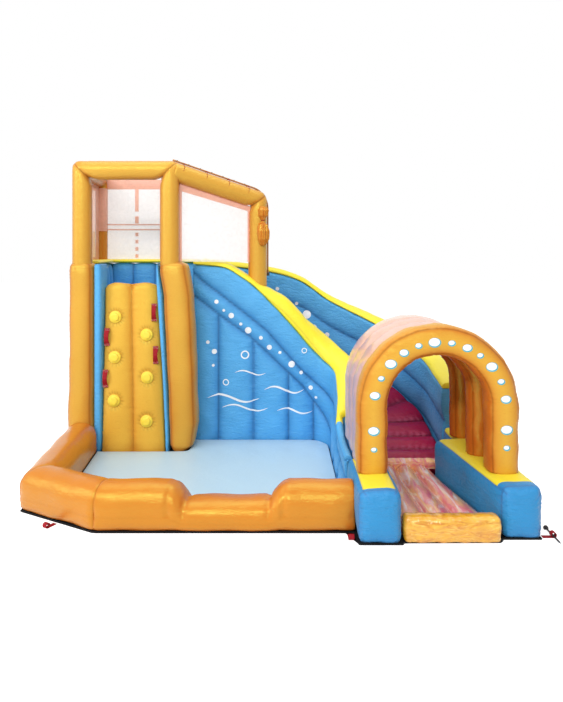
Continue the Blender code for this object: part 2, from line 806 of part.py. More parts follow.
def net(name, corners, gaps):
    """A net between four corners (low left, low right, top right, top left) with hemmed edges."""
    low_left, low_right, top_right, top_left = [Vector(corner) for corner in corners]

    def lines(count, length):
        hem = NET_HEM / length
        bar = NET_STRAND / length
        gap = (1 - 2 * hem - (count - 1) * bar) / count
        marks = [0.0]
        at = hem
        for _ in range(count):
            marks += [at, at + gap]
            at += gap + bar
        return marks + [1.0]

    across = lines(gaps[0], (low_right - low_left).length)
    upward = lines(gaps[1], (top_left - low_left).length)
    bm = bmesh.new()
    rows = []
    for v in upward:
        row = []
        for u in across:
            low = low_left.lerp(low_right, u)
            row.append(bm.verts.new(low.lerp(top_left.lerp(top_right, u), v)))
        rows.append(row)
    for j in range(len(upward) - 1):
        for i in range(len(across) - 1):
            if i % 2 == 0 or j % 2 == 0:
                bm.faces.new((rows[j][i], rows[j][i + 1], rows[j + 1][i + 1], rows[j + 1][i]))
    mesh = bpy.data.meshes.new(name)
    bm.to_mesh(mesh)
    bm.free()
    obj = place(bpy.data.objects.new(name, mesh), "net")
    thicken = obj.modifiers.new("cloth", "SOLIDIFY")
    thicken.thickness = NET_THICK
    thicken.offset = 0
    return obj


def make_nets():
    """Each net hangs between two posts, just clear of them."""
    clear = FRAME_RADIUS + NET_CLEAR
    foot = TOWER_WALL_TOP + CAP_LIFT + CAP_THICK + NET_CLEAR

    def between(name, a, b, low_a, low_b, high_a, high_b, gaps):
        start, end = Vector(a), Vector(b)
        along = (end - start).normalized() * clear
        start, end = start + along, end - along
        corners = [(*start, low_a), (*end, low_b), (*end, high_b), (*start, high_a)]
        net(name, corners, gaps)

    between("net_back", REAR_LEFT, REAR_RIGHT, foot, foot, REAR_TOP, REAR_TOP, (4, 4))
    left = (POST_LEFT_X, POST_FRONT_Y)
    right = (POST_RIGHT_X, POST_FRONT_Y)
    front_foot = COLUMN_TOP + NET_CLEAR
    between("net_left", left, REAR_LEFT, front_foot, foot, FRAME_TOP - clear, REAR_TOP - clear, (6, 4))
    fall = (FRAME_TOP - WING_TOP) / (Vector(WING_POST) - Vector(right)).length
    drop = clear * math.hypot(1, fall)
    cap_foot = INNER_TOPS[1][1] + CAP_LIFT + CAP_THICK + NET_CLEAR
    high = (FRAME_TOP - clear * fall - drop, WING_TOP + clear * fall - drop)
    between("net_wing", right, WING_POST, front_foot, cap_foot, *high, (4, 4))


# Slide

INNER_TOPS = (
    (0.0, 1.68), (0.29, 1.65), (0.44, 1.57), (0.59, 1.46), (0.82, 1.225), (1.01, 1.01),
    (1.2, 0.79), (1.38, 0.66), (1.66, 0.46), (1.9, 0.287), (2.5, 0.283),
)
INNER_CAPS = (
    (0.0, 0.04), (0.3, 0.045), (0.6, 0.06), (0.75, 0.13), (0.9, 0.2), (1.11, 0.2), (1.25, 0.13),
    (1.4, 0.06), (1.9, 0.032), (2.5, 0.03),
)
OUTER_CAPS = ((0.0, 0.05), (3.3, 0.05))
OUTER_TOPS = (
    (0.0, 1.67), (0.68, 1.59), (1.07, 1.48), (1.41, 1.25), (2.02, 0.98), (2.4, 0.82),
    (2.78, 0.73), (3.27, 0.64),
)
LANE_TOPS = (
    (0.0, DECK_TOP), (0.2, 1.18), (0.5, 1.05), (1.0, 0.8), (1.5, 0.54), (1.95, 0.33),
    (2.27, 0.235), (2.6, 0.17), (3.05, SLIDE_LOW),
)


def inner_route():
    corners = flat([(INNER_START_X, INNER_FACE_Y), (INNER_FACE_X, INNER_FACE_Y)])
    corners += flat([(INNER_FACE_X, INNER_END_Y)])
    return rounded_route(corners, INNER_BEND, 10, CHAMBER / 2)


def outer_route():
    reach = LANE_WIDTH / 2 + OUTER_CLEAR
    back, right = LANE_BACK_Y + reach, LANE_RIGHT_X + reach
    corners = flat([(DECK_EDGE_X, back), (right, back), (right, OUTER_END_Y)])
    return rounded_route(corners, LANE_BEND + reach, 12, CHAMBER * 0.8)


def past_bend(s):
    """How far the inner wall is round its bend, and how far it is beside the left bolster."""
    straight = INNER_FACE_X - INNER_START_X - INNER_BEND
    corner = straight + INNER_BEND * math.pi / 2
    bolster = corner + INNER_FACE_Y - INNER_BEND - BOLSTER_BACK_Y
    turned_in = eased((s - straight) / (corner - straight))
    return turned_in, eased((s - bolster + INNER_STEP + INNER_CLEAR) / INNER_STEP)


def inner_thick(s):
    """The inner wall fills the space beside the bend, and thins beside the left bolster."""
    wider, thinner = past_bend(s)
    side = INNER_THICK + (INNER_THICK_SIDE - INNER_THICK) * wider
    return side + (INNER_THICK_END - side) * thinner


def inner_lean(s):
    """Past its bend the inner wall's face to the pool leans away from it."""
    wider, thinner = past_bend(s)
    return INNER_LEAN * wider * (1 - thinner)


def wall_section(top, thick, s, fan):
    """Two long tubes over a fan of upright chambers, on both faces of a slide wall."""
    tube_height = min(WALL_TUBE, 0.34 * top)
    bulge = min(WALL_BULGE, 0.2 * thick)
    low = top - 2 * tube_height
    swell = abs(math.sin(math.pi * s / CHAMBER))
    chamber = bulge * (1 - 0.8 * swell) if fan else bulge * 0.6
    lobes = ((0.25, 0.3), (0.5, 0.0), (0.75, 0.3))
    points = [(bulge, FLOOR), (chamber, FLOOR + WALL_FOOT), (chamber, FLOOR + low * 0.6), (bulge, low)]
    points += [(bulge * depth, low + tube_height * at) for at, depth in lobes]
    points += [(bulge, low + tube_height)]
    points += [(bulge * depth, low + tube_height * (1 + at)) for at, depth in lobes]
    points += [(bulge * 1.2, top), (thick - bulge * 1.2, top)]
    points += [(thick - bulge * 0.2, top - tube_height * 0.3), (thick, top - tube_height * 0.6)]
    points += [(thick - bulge, top - tube_height), (thick, top - tube_height * 1.5)]
    points += [(thick - bulge, low), (thick - bulge * 0.5, low * 0.5), (thick - bulge, FLOOR)]
    return points


def inner_section(s):
    top = smooth_value(INNER_TOPS, s)
    thick = inner_thick(s)
    points = wall_section(top, thick, s, True)
    return [(u + inner_lean(s) * v / top, v) if u < thick / 2 else (u, v) for u, v in points]


def outer_section(s):
    top = smooth_value(OUTER_TOPS, s)
    return wall_section(top, OUTER_THICK, s, False)


def slope_section(s):
    top = smooth_value(INNER_TOPS, s) + CAP_LIFT + smooth_value(INNER_CAPS, s) + FRAME_SEAM
    thick = inner_thick(s)
    return [(-thick, FLOOR), (-thick, top), (2 * thick, top), (2 * thick, FLOOR)]


def cap_section(tops, heights, thick, lean):
    """The yellow chamber over a wall's top, crowned a little."""
    def section(s):
        low = smooth_value(tops, s) + CAP_LIFT
        high = low + smooth_value(heights, s)
        near, far = lean(s), thick(s)
        inset = min(CAP_THICK, (far - near) * 0.15)
        edge = CAP_THICK * 0.4
        shoulder = high - CAP_THICK * 0.1
        return [
            (near + inset, low), (far - inset, low), (far + CAP_OVERHANG, low + edge),
            (far - inset, shoulder), ((near + far) / 2, high), (near + inset, shoulder),
            (near - CAP_OVERHANG, low + edge),
        ]
    return section


def lane_section(s):
    """A crowned lane whose cross pleats dip between its sewn lines."""
    top = smooth_value(LANE_TOPS, s)
    swell = abs(math.sin(math.pi * s / PLEAT)) ** 0.7
    bank = LANE_BANK * math.sin(math.pi * min(max((s - BANK_START) / BANK_LENGTH, 0), 1))
    half = LANE_WIDTH / 2
    points = []
    for across in (-1.0, -0.55, 0.0, 0.55, 1.0):
        crown = PLEAT_DEPTH * (swell - 1) * (1 - 0.5 * across**4)
        points.append((across * half, top + crown + bank * across))
    edge = LANE_THICK
    points.append((half, top - edge + bank))
    points.append((-half, top - edge - bank))
    return points


def make_slide():
    inner = inner_route()
    outer = outer_route()
    sweep("slide_wall_inner", inner, inner_section, "blue_cloth", 0, INNER_HOLLOW)
    sweep("slide_wall_outer", outer, outer_section, "blue_cloth", 0, OUTER_HOLLOW)
    cap = cap_section(INNER_TOPS, INNER_CAPS, inner_thick, inner_lean)
    sweep("slide_cap_inner", inner, cap, "yellow_cloth")
    cap = cap_section(OUTER_TOPS, OUTER_CAPS, lambda s: OUTER_THICK, lambda s: 0)
    sweep("slide_cap_outer", outer, cap, "yellow_cloth")
    corners = flat([(DECK_EDGE_X + SEAM, LANE_BACK_Y), (LANE_RIGHT_X, LANE_BACK_Y)])
    corners += flat([(LANE_RIGHT_X, LANE_END_Y)])
    route = rounded_route(corners, LANE_BEND, 20, PLEAT / 3)
    sweep("slide_lane", route, lane_section, "crimson_cloth")


# Run-out and tunnel

def along_y(name, stations, material, power=6, count=16):
    """A body through (y, left, right, height) stations."""
    rings = []
    for y, left, right, height in stations:
        middle = (left + right) / 2
        section = seated(soft_box(right - left, height, power, count), SEAT_DEPTH * 0.6)
        rings.append([(middle + u, y, FLOOR + v) for u, v in section])
    return loft(name, rings, material)


def arch_points(centre_x, y, radius, foot, steps=14):
    points = [(centre_x - radius, y, foot), (centre_x - radius, y, foot + ARCH_LEG * 0.5)]
    for k in range(steps + 1):
        angle = math.pi * (1 - k / steps)
        spot = foot + ARCH_LEG + radius * math.sin(angle)
        points.append((centre_x + radius * math.cos(angle), y, spot))
    points += [(centre_x + radius, y, foot + ARCH_LEG * 0.5), (centre_x + radius, y, foot)]
    return points


def make_bolsters():
    """The left bolster is narrower behind, where the inner slide wall runs beside it. The
    right one flares from the lane's end to the front."""
    height = BOLSTER_HEIGHT - FLOOR
    soft = BOLSTER_ROUNDING
    beside_wall = INNER_END_Y - INNER_CLEAR
    beside_lane = LANE_END_Y - BOLSTER_CLEAR
    left_rear = (LEFT_BOLSTER_REAR_X, LEFT_BOLSTER_X[1])
    sides = (
        ("left", LEFT_BOLSTER_X, LEFT_BOLSTER_X, left_rear, LEFT_BOLSTER_FRONT_Y, beside_wall),
        ("right", RIGHT_BOLSTER_X, RIGHT_BOLSTER_MIDDLE_X, RIGHT_BOLSTER_REAR_X,
         RIGHT_BOLSTER_FRONT_Y, beside_lane),
    )
    for name, (left, right), middle, rear, front, step in sides:
        stations = [(front, left + soft, right - soft, height - soft), (front + soft, left, right, height)]
        stations += [(step - 2 * soft, *middle, height), (step, *rear, height)]
        stations += [(BOLSTER_BACK_Y - soft, *rear, height)]
        stations += [(BOLSTER_BACK_Y, rear[0] + soft, rear[1] - soft, height - soft)]
        along_y(f"bolster_{name}", stations, "blue_cloth")


def make_tunnel():
    foot = BOLSTER_HEIGHT + GAP
    front = arch_points(ARCH_CENTRE_X, ARCH_Y, ARCH_RADIUS, foot)
    tube("tunnel_arch_front", front, ARCH_TUBE, "orange_cloth")
    middle = arch_points(RIB_CENTRE_X, RIB_MIDDLE_Y, RIB_RADIUS, foot)
    tube("tunnel_rib_middle", middle, RIB_TUBE, "orange_cloth")
    rear = arch_points(RIB_CENTRE_X, RIB_REAR_Y, RIB_RADIUS, foot)
    tube("tunnel_rib_rear", rear, RIB_TUBE, "orange_cloth")

    bm = bmesh.new()
    rows = []
    steps = 6
    for k in range(steps + 1):
        t = k / steps
        y = COVER_FRONT_Y + (COVER_BACK_Y - COVER_FRONT_Y) * t
        billow = COVER_BILLOW * abs(math.sin(math.tau * t))
        reach = RIB_RADIUS + RIB_TUBE + COVER_CLEAR + billow
        points = arch_points(RIB_CENTRE_X, y, reach, foot, 14)
        rows.append([bm.verts.new(point) for point in points])
    for low, high in zip(rows, rows[1:]):
        for i in range(len(low) - 1):
            bm.faces.new((low[i], low[i + 1], high[i + 1], high[i]))
    mesh = bpy.data.meshes.new("tunnel_cover")
    bm.to_mesh(mesh)
    bm.free()
    mesh.shade_smooth()
    cover = place(bpy.data.objects.new("tunnel_cover", mesh), "salmon_film")
    thicken = cover.modifiers.new("film", "SOLIDIFY")
    thicken.thickness = COVER_THICK
    thicken.offset = 1


def make_mat():
    """The landing mat's lengthwise channels, and the rolled bumper before it."""
    back = LANE_END_Y - SEAM
    rings = []
    for t in (0, 0.04, 0.3, 0.65, 0.96, 1):
        y = back + (MAT_FRONT_Y - back) * t
        left = MAT_BACK_X[0] + (MAT_FRONT_X[0] - MAT_BACK_X[0]) * t
        right = MAT_BACK_X[1] + (MAT_FRONT_X[1] - MAT_BACK_X[1]) * t
        sag = 0.6 if t in (0, 1) else 1.0
        ring = [(left, y, FLOOR)]
        steps = 4 * MAT_CHANNELS
        for i in range(steps + 1):
            across = i / steps
            swell = abs(math.sin(math.pi * across * MAT_CHANNELS)) ** 0.6
            height = MAT_HEIGHT * (0.55 + 0.45 * swell) * sag
            ring.append((left + (right - left) * across, y, FLOOR + height))
        ring.append((right, y, FLOOR))
        rings.append(ring)
    loft("landing_mat", rings, "clear_film", sharp=60)

    depth = MAT_FRONT_Y - SEAM - BUMPER_FRONT_Y
    middle = BUMPER_FRONT_Y + depth / 2
    left, right = MAT_FRONT_X
    rings = []
    for across, size in ((0, 0.8), (0.04, 1), (0.5, 1.03), (0.96, 1), (1, 0.8)):
        x = left + (right - left) * across
        section = seated(soft_box(depth * min(size, 1), BUMPER_HEIGHT * size, 2.6))
        rings.append([(x, middle + u, FLOOR + v) for u, v in section])
    loft("landing_bumper", rings, "gold_film")


# Hose, sleeve, anchors

def turned(name, profile, material, matrix, sides=12, pipe=False):
    """A body turned about its own Z through (radius, height) points. A pipe's profile closes
    on itself round a bore."""
    bm = bmesh.new()
    rings = []
    for radius, height in profile:
        ring = []
        for i in range(sides):
            angle = math.tau * i / sides
            spot = Vector((radius * math.cos(angle), radius * math.sin(angle), height))
            ring.append(bm.verts.new(matrix @ spot))
        rings.append(ring)
    for low, high in zip(rings, rings[1:] + rings[:1] if pipe else rings[1:]):
        for i in range(sides):
            j = (i + 1) % sides
            bm.faces.new((low[i], low[j], high[j], high[i]))
    if not pipe:
        bm.faces.new(rings[0])
        bm.faces.new(rings[-1])
    return mesh_piece(name, bm, material)


def make_hose():
    """A spray hose along the sloping beam and down beside its post, with its tap connector."""
    top = Vector((POST_RIGHT_X, POST_FRONT_Y, FRAME_TOP))
    end = Vector((*WING_POST, WING_TOP))
    ahead = (end - top).normalized()
    outside = Vector((ahead.x, ahead.y, 0)).normalized()
    clear = FRAME_RADIUS + HOSE_RADIUS + HOSE_CLEAR
    beside = FRAME_RADIUS + NUT_RADIUS + SEAM
    start = top + (Vector((0, 0, 1)) - ahead * ahead.z).normalized() * clear
    down = Vector((*WING_POST, HOSE_END_Z)) + outside * beside
    elbow = start + ahead * (down - start).dot(outside) / ahead.dot(outside)
    route = rounded_route([start, elbow, down], FRAME_BEND + clear, 8, HOSE_BEND)
    tube("spray_hose", route, HOSE_RADIUS, "hose_plastic", 2)

    under = Matrix.Translation((down.x, down.y, HOSE_END_Z - GAP))
    tail = CONNECTOR_BORE + CONNECTOR_WALL
    sleeve = [(tail, 0), (tail, -CONNECTOR_LENGTH), (CONNECTOR_BORE, -CONNECTOR_LENGTH), (CONNECTOR_BORE, 0)]
    turned("hose_connector", sleeve, "hose_plastic", under, pipe=True)
    inside = tail + NUT_CLEAR
    low = -CONNECTOR_LENGTH - SEAM
    high = low + NUT_LENGTH
    nut = [(NUT_RADIUS, low), (NUT_RADIUS, high), (inside, high), (inside, low)]
    turned("hose_nut", nut, "dark_plastic", under, sides=10, pipe=True)


def make_sleeve():
    """The tied-off air sleeve on the wing post: a tied neck with a folded end below."""
    away = Vector((math.cos(SLEEVE_AT), math.sin(SLEEVE_AT), 0))
    beside = Vector((-away.y, away.x, 0))
    post = Vector((*WING_POST, 0))
    neck = TIE_RADIUS / SLEEVE_RADIUS
    sizes = ((0, 0.55), (0.1, 0.85), (0.23, 0.75), (0.33, neck), (0.38, neck), (0.47, 0.75))
    sizes += ((0.63, 0.95), (0.83, 0.85), (0.97, 0.5), (1, 0.17))

    def middle(share, deep):
        out = FRAME_RADIUS + GAP + deep
        return post + away * out + Vector((0, 0, SLEEVE_TOP - share * SLEEVE_LENGTH))

    tied = TIE_RADIUS + SEAM / 4 + 2 * TIE_CORD + GAP
    rings = []
    for share, size in sizes:
        radius = SLEEVE_RADIUS * size
        flatten = 0 if size == neck else 0.2
        centre = middle(share, max(radius * (1 - flatten), tied))
        ring = []
        for i in range(14):
            angle = math.tau * i / 14
            reach = radius * (1 - flatten * math.cos(2 * angle))
            ring.append(centre + (away * math.cos(angle) + beside * math.sin(angle)) * reach)
        rings.append(ring)
    loft("deflation_sleeve", rings, "orange_cloth", sharp=80)
    band = []
    for i in range(6):
        turn = math.tau * i / 6
        wide = TIE_RADIUS + SEAM / 4 + TIE_CORD * (1 + math.cos(turn))
        band.append((wide, TIE_CORD * math.sin(turn)))
    where = Matrix.Translation(middle(0.355, tied))
    turned("sleeve_tie", band, "red_webbing", where, pipe=True)


def make_anchors():
    """Red webbing tabs at the base edge, each ending in a loop for a ground stake."""
    outside = POOL_WALL_WIDTH / 2 + SHEET_MARGIN + SEAM
    corner = (Vector(POOL_CORNER_LEFT) + Vector((POOL_CORNER_FRONT_X, POOL_FRONT_Y))) / 2
    slant = Vector((POOL_CORNER_FRONT_X, POOL_FRONT_Y)) - Vector(POOL_CORNER_LEFT)
    away = Vector((slant.y, -slant.x)).normalized()
    places = (
        (corner + away * outside, math.atan2(away.y, away.x)),
        ((LEFT_BOLSTER_X[0] - STRAP_WIDTH, POOL_FRONT_Y - outside), -math.pi / 2),
        ((RIGHT_BOLSTER_X[1] + SHEET_MARGIN + SEAM, RIGHT_BOLSTER_FRONT_Y + STRAP_WIDTH), 0),
    )
    loop = LOOP_BORE + WEBBING
    steps = 16
    for k, (spot, turn) in enumerate(places):
        outline = [(0.0, 0.0)]
        for i in range(steps - 1):
            angle = -math.pi / 2 + math.radians(300) * i / (steps - 2)
            outline.append((STRAP_LENGTH + loop * math.cos(angle), loop + loop * math.sin(angle)))
        outline.append((STRAP_LENGTH - loop * 0.98, WEBBING))
        outline.append((0.0, WEBBING))
        bore = []
        for i in range(12):
            angle = math.tau * i / 12
            bore.append((STRAP_LENGTH + LOOP_BORE * math.cos(angle), loop + LOOP_BORE * math.sin(angle)))
        turned_up = Matrix.Rotation(turn, 4, "Z") @ Matrix.Rotation(math.radians(90), 4, "X")
        where = Matrix.Translation((*spot, 0)) @ turned_up
        plate(f"anchor_strap_{k + 1}", [outline, bore], STRAP_WIDTH, "red_webbing", where)
    spot = places[-1][0]
    lie = Matrix.Translation((spot[0] + STRAP_LENGTH, spot[1], WEBBING + STAKE_RADIUS + GAP))
    tip = STAKE_LENGTH / 2
    head = tip - 2 * STAKE_RADIUS
    wide = LOOP_BORE + WEBBING / 2
    profile = [(STAKE_RADIUS / 6, -tip), (STAKE_RADIUS, -tip + 5 * STAKE_RADIUS), (STAKE_RADIUS, head)]
    profile += [(wide, head), (wide, tip)]
    level = lie @ Matrix.Rotation(math.radians(-90), 4, "X")
    stake = turned("ground_stake", profile, "dark_plastic", level)
    deep = STAKE_LENGTH
    square = [(-deep, -deep), (deep, -deep), (deep, deep), (-deep, deep)]
    ground = plate("ground", [square], deep, "dark_plastic")
    ground.location = (*spot, GAP - deep / 2)
    cut(stake, as_cutter(as_mesh(ground)))


# Blower

def volute(grow):
    """The spiral casing's side outline, its nozzle low and pointing to +X. The outer one has
    a flat pad on top for the switch and two feet."""
    points = []
    for k in range(23):
        angle = math.radians(-90 - 12 * k)
        radius = BLOWER_RADIUS + BLOWER_GROWTH * (1 - k / 22) + grow
        points.append((radius * math.cos(angle), radius * math.sin(angle)))
    top = -BLOWER_RADIUS - BLOWER_GROWTH + NOZZLE_HEIGHT + grow
    low = -BLOWER_RADIUS - BLOWER_GROWTH - grow
    if grow:
        reach = NOZZLE_LENGTH + BLOWER_WALL
        return points + [(BLOWER_RADIUS * 0.9, top), (reach, top), (reach, low)]
    pad = BLOWER_WALL * 4
    spiral = points[3:14] + [(-pad, BLOWER_PAD), (pad, BLOWER_PAD)] + points[17:]
    foot = low - BLOWER_FOOT
    front = NOZZLE_LENGTH - FOOT_LENGTH
    rear = -BLOWER_RADIUS * 0.4
    base = [(BLOWER_RADIUS * 0.9, top), (NOZZLE_LENGTH, top), (NOZZLE_LENGTH, foot), (front, foot)]
    base += [(front, low), (rear, low), (rear, foot), (rear - FOOT_LENGTH, foot)]
    return spiral + base


def make_blower():
    axle = BLOWER_RADIUS + BLOWER_GROWTH + BLOWER_FOOT
    from_bend = LANE_BEND + LANE_WIDTH / 2 + OUTER_CLEAR + OUTER_THICK + BLOWER_CLEAR
    x = LANE_RIGHT_X - LANE_BEND + from_bend * math.cos(BLOWER_AT)
    y = LANE_BACK_Y - LANE_BEND + from_bend * math.sin(BLOWER_AT)
    base = Matrix.Translation((x, y, axle)) @ Matrix.Rotation(BLOWER_TURN, 4, "Z")
    on_edge = Matrix.Rotation(math.radians(90), 4, "X")
    half_width = BLOWER_WIDTH / 2

    def facing(y, x=0.0, z=0.0):
        return base @ Matrix.Translation((x, y, z)) @ on_edge

    def polar(radius, angle):
        return radius * math.cos(angle), radius * math.sin(angle)

    def circle(radius, sides=24):
        return [polar(radius, math.tau * i / sides) for i in range(sides)]

    housing = as_mesh(plate("blower_housing", [volute(0)], BLOWER_WIDTH, "blower_plastic", facing(0)))
    inner_width = BLOWER_WIDTH - 2 * BLOWER_WALL
    inside = plate("hollow", [volute(-BLOWER_WALL)], inner_width, "blower_plastic", facing(0))
    cut(housing, as_cutter(as_mesh(inside)))
    holes = (("intake", INTAKE_RADIUS, -half_width), ("shaft", SHAFT_RADIUS + SEAM, half_width))
    for name, radius, y in holes:
        hole = plate(name, [circle(radius)], 4 * BLOWER_WALL, "blower_plastic", facing(y))
        cut(housing, as_cutter(as_mesh(hole)))

    blades = []
    hub, tip = HUB_RADIUS, IMPELLER_RADIUS
    for k in range(IMPELLER_BLADES):
        start = math.tau * k / IMPELLER_BLADES
        for radius, leans in ((hub, 0), (tip, 3), (tip, 4), (hub, 1)):
            blades.append(polar(radius, start + leans * BLADE_LEAN))
    plate("blower_impeller", [blades], IMPELLER_WIDTH, "dark_plastic", facing(0))

    slots = []
    for k in range(GRILLE_SPOKES):
        for near, far in ((0.3, 0.55), (0.63, 0.88)):
            slot = []
            for share, at in ((near, 0.12), (far, 0.12), (far, 0.5), (far, 0.88), (near, 0.88)):
                slot.append(polar(INTAKE_RADIUS * share, math.tau * (k + at) / GRILLE_SPOKES))
            slots.append(slot)
    rim = circle(INTAKE_RADIUS + 2 * BLOWER_WALL)
    front = -half_width - GAP - GRILLE_THICK / 2
    plate("blower_grille", [rim] + slots, GRILLE_THICK, "dark_plastic", facing(front))

    shaft_end = IMPELLER_WIDTH / 2 + GAP
    back = half_width + GAP
    end = back + MOTOR_LENGTH
    motor = [(SHAFT_RADIUS, shaft_end), (SHAFT_RADIUS, back), (MOTOR_RADIUS, back)]
    motor += [(MOTOR_RADIUS, end - SHAFT_RADIUS), (MOTOR_RADIUS - SHAFT_RADIUS, end)]
    outward = base @ Matrix.Rotation(math.radians(-90), 4, "X")
    turned("blower_motor", motor, "dark_plastic", outward, sides=20)

    half = SWITCH_LENGTH / 2
    side = half * math.tan(SWITCH_TILT)
    rocker = [(0, 0), (half, side), (half, SWITCH_HEIGHT), (-half, SWITCH_HEIGHT), (-half, side)]
    seat = facing(half_width / 2, z=BLOWER_PAD + GAP)
    plate("blower_switch", [rocker], SWITCH_WIDTH, "red_webbing", seat)

    low = -BLOWER_RADIUS - BLOWER_GROWTH + NOZZLE_HEIGHT / 2
    reach = NOZZLE_LENGTH + SEAM
    points = [base @ Vector((reach + INLET_LENGTH * k / 5, 0, low)) for k in range(6)]
    inlet = as_mesh(tube("air_inlet_sleeve", points, INLET_RADIUS, "blue_cloth", 4))
    wall = sweep("outer", outer_route(), outer_section, "blue_cloth", grow=SEAM)
    cut(inlet, as_cutter(wall))


def seat_on_origin():
    """Parents the park to an empty and moves that so the park stands centred on the origin."""
    bpy.context.view_layer.update()
    graph = bpy.context.evaluated_depsgraph_get()
    low = Vector((1e9, 1e9, 1e9))
    high = -low
    for obj in PARTS.objects:
        found = obj.evaluated_get(graph)
        for vertex in found.to_mesh().vertices:
            spot = found.matrix_world @ vertex.co
            low = Vector(map(min, low, spot))
            high = Vector(map(max, high, spot))
        found.to_mesh_clear()
    park = bpy.data.objects.new("water_park", None)
    PARTS.objects.link(park)
    park.location = (-(low.x + high.x) / 2, -(low.y + high.y) / 2, 0)
    for obj in [*PARTS.objects, *CUTTERS.objects]:
        if obj != park:
            obj.parent = park
    print("park box", [round(v, 4) for v in (*low, *high)])


clear_scene()
PARTS = make_collection("inflatable_water_park")
CUTTERS = make_collection("cutters")
make_ground_sheet()
make_pool()
make_tower()
make_frame()
make_nets()
make_slide()
make_bolsters()
make_tunnel()
make_mat()
make_hose()
make_sleeve()
make_anchors()
make_blower()
seat_on_origin()
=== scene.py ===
"""An inflatable water park dressed for its photograph: puffed cloth chambers, nets, a glossy
slide, a landing mat and a blower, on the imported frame. Metres, +Z up, the front faces -Y."""

from math import atan2, cos, dist, exp, hypot, pi, radians, sin, sqrt, tan, tau

import bmesh
import bpy
import numpy as np
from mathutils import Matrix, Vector
from numpy.linalg import norm


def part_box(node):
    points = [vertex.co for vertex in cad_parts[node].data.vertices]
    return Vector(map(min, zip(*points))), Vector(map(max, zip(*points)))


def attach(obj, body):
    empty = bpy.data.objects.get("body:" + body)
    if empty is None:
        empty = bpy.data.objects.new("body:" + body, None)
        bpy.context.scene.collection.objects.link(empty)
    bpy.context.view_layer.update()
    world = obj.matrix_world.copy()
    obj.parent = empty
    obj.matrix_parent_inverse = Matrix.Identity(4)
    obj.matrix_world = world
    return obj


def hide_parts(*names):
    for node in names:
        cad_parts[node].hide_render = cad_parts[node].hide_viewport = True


bl_info = {
    "name": "Inflatable Water Park",
    "version": (1, 0, 0),
    "blender": (4, 5, 0),
    "location": "View3D > Sidebar > Water Park",
    "description": "Dresses the frame of an inflatable water park piece by piece",
    "category": "Object",
}

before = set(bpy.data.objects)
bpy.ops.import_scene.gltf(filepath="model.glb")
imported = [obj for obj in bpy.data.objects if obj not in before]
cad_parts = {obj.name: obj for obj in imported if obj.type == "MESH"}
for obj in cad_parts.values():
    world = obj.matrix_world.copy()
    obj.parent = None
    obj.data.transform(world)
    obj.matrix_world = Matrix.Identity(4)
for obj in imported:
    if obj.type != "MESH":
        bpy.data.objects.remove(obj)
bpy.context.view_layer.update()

# Where the plan's zero lies in the frame, from two pieces whose plan places are known
DECK_EDGE_X = -0.72
LEFT_BOLSTER_FRONT_Y = -1.69
PARK_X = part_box("deck")[1].x - DECK_EDGE_X
PARK_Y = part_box("bolster_left")[0].y - LEFT_BOLSTER_FRONT_Y

# Plan of the park, in metres
FLOOR = 0.0043
POOL_WALL_HEIGHT = 0.29
POOL_WALL_WIDTH = 0.27
ENTRY_HEIGHT = 0.18
ENTRY_START = -0.47
ENTRY_END = 0.07
ENTRY_RAMP = 0.09
POOL_FRONT_Y = -1.405
POOL_PLAN = ((-1.63, -0.034), (-1.545, -1.13), (-1.03, POOL_FRONT_Y))
TOWER_FRONT_Y = -0.03
TOWER_BACK_Y = 0.24
REAR_WALL_Y = 1.2
COLUMN_TOP = 1.71
COLUMN_LEFT_LEVELS = (
    (0, -1.78, -1.545, 0.03), (0.05, -1.785, -1.545, 0), (0.3, -1.78, -1.545, 0),
    (0.9, -1.765, -1.545, 0), (1.6, -1.765, -1.545, 0), (1.706, -1.765, -1.545, 0),
)
COLUMN_RIGHT_LEVELS = (
    (0, -0.855, -0.69, 0.02), (0.06, -0.86, -0.645, 0), (0.25, -0.862, -0.613, 0),
    (0.84, -0.89, -0.63, 0), (1.4, -0.92, -0.655, 0), (1.6, -0.95, -0.69, 0),
    (1.706, -0.957, -0.70, 0),
)
CLIMB_LEFT_X = -1.467
CLIMB_RIGHT_EDGE = ((0, -0.9), (0.6, -0.925), (1.0, -0.95), (1.52, -0.985))
CLIMB_TOP = 1.52
CLIMB_LEAN = 0.1
CLIMB_THICK = 0.16
CLIMB_LOBE = 0.045
DECK_TOP = 1.2
DECK_THICK = 0.18
TOWER_WALL_TOP = 1.68
TOWER_WALL_THICK = 0.2
CAP_LIFT = 0.006
CAP_THICK = 0.03
FRAME_RADIUS = 0.085
FRAME_TOP = 2.537
POST_LEFT = (-1.657, 0.07)
POST_RIGHT = (-0.865, 0.07)
REAR_LEFT = (-1.87, 1.30)
REAR_RIGHT = (-1.10, 1.30)
REAR_TOP = 2.6
WING_POST = (-0.086, 0.43)
WING_TOP = 2.3
LANE_BACK_Y = 0.87
LANE_RIGHT_X = 1.195
LANE_WIDTH = 0.59
LANE_BEND = 0.66
LANE_END_Y = -0.575
INNER_FACE = (0.575, 0.305)
INNER_START_X = -0.69
INNER_END_Y = -1.0
INNER_BEND = 0.2
OUTER_THICK = 0.2
OUTER_CLEAR = 0.012
OUTER_END_Y = -0.28
INNER_TOPS = (
    (0.0, 1.68), (0.29, 1.65), (0.44, 1.57), (0.59, 1.46), (0.82, 1.225), (1.01, 1.01),
    (1.2, 0.79), (1.38, 0.66), (1.66, 0.46), (1.9, 0.287), (2.5, 0.283),
)
INNER_CAPS = (
    (0.0, 0.04), (0.3, 0.045), (0.6, 0.06), (0.75, 0.13), (0.9, 0.2), (1.11, 0.2), (1.25, 0.13),
    (1.4, 0.06), (1.9, 0.032), (2.5, 0.03),
)
INNER_YELLOW_END = 1.8
LEAN_FADE = 1.55
OUTER_CAP = 0.05
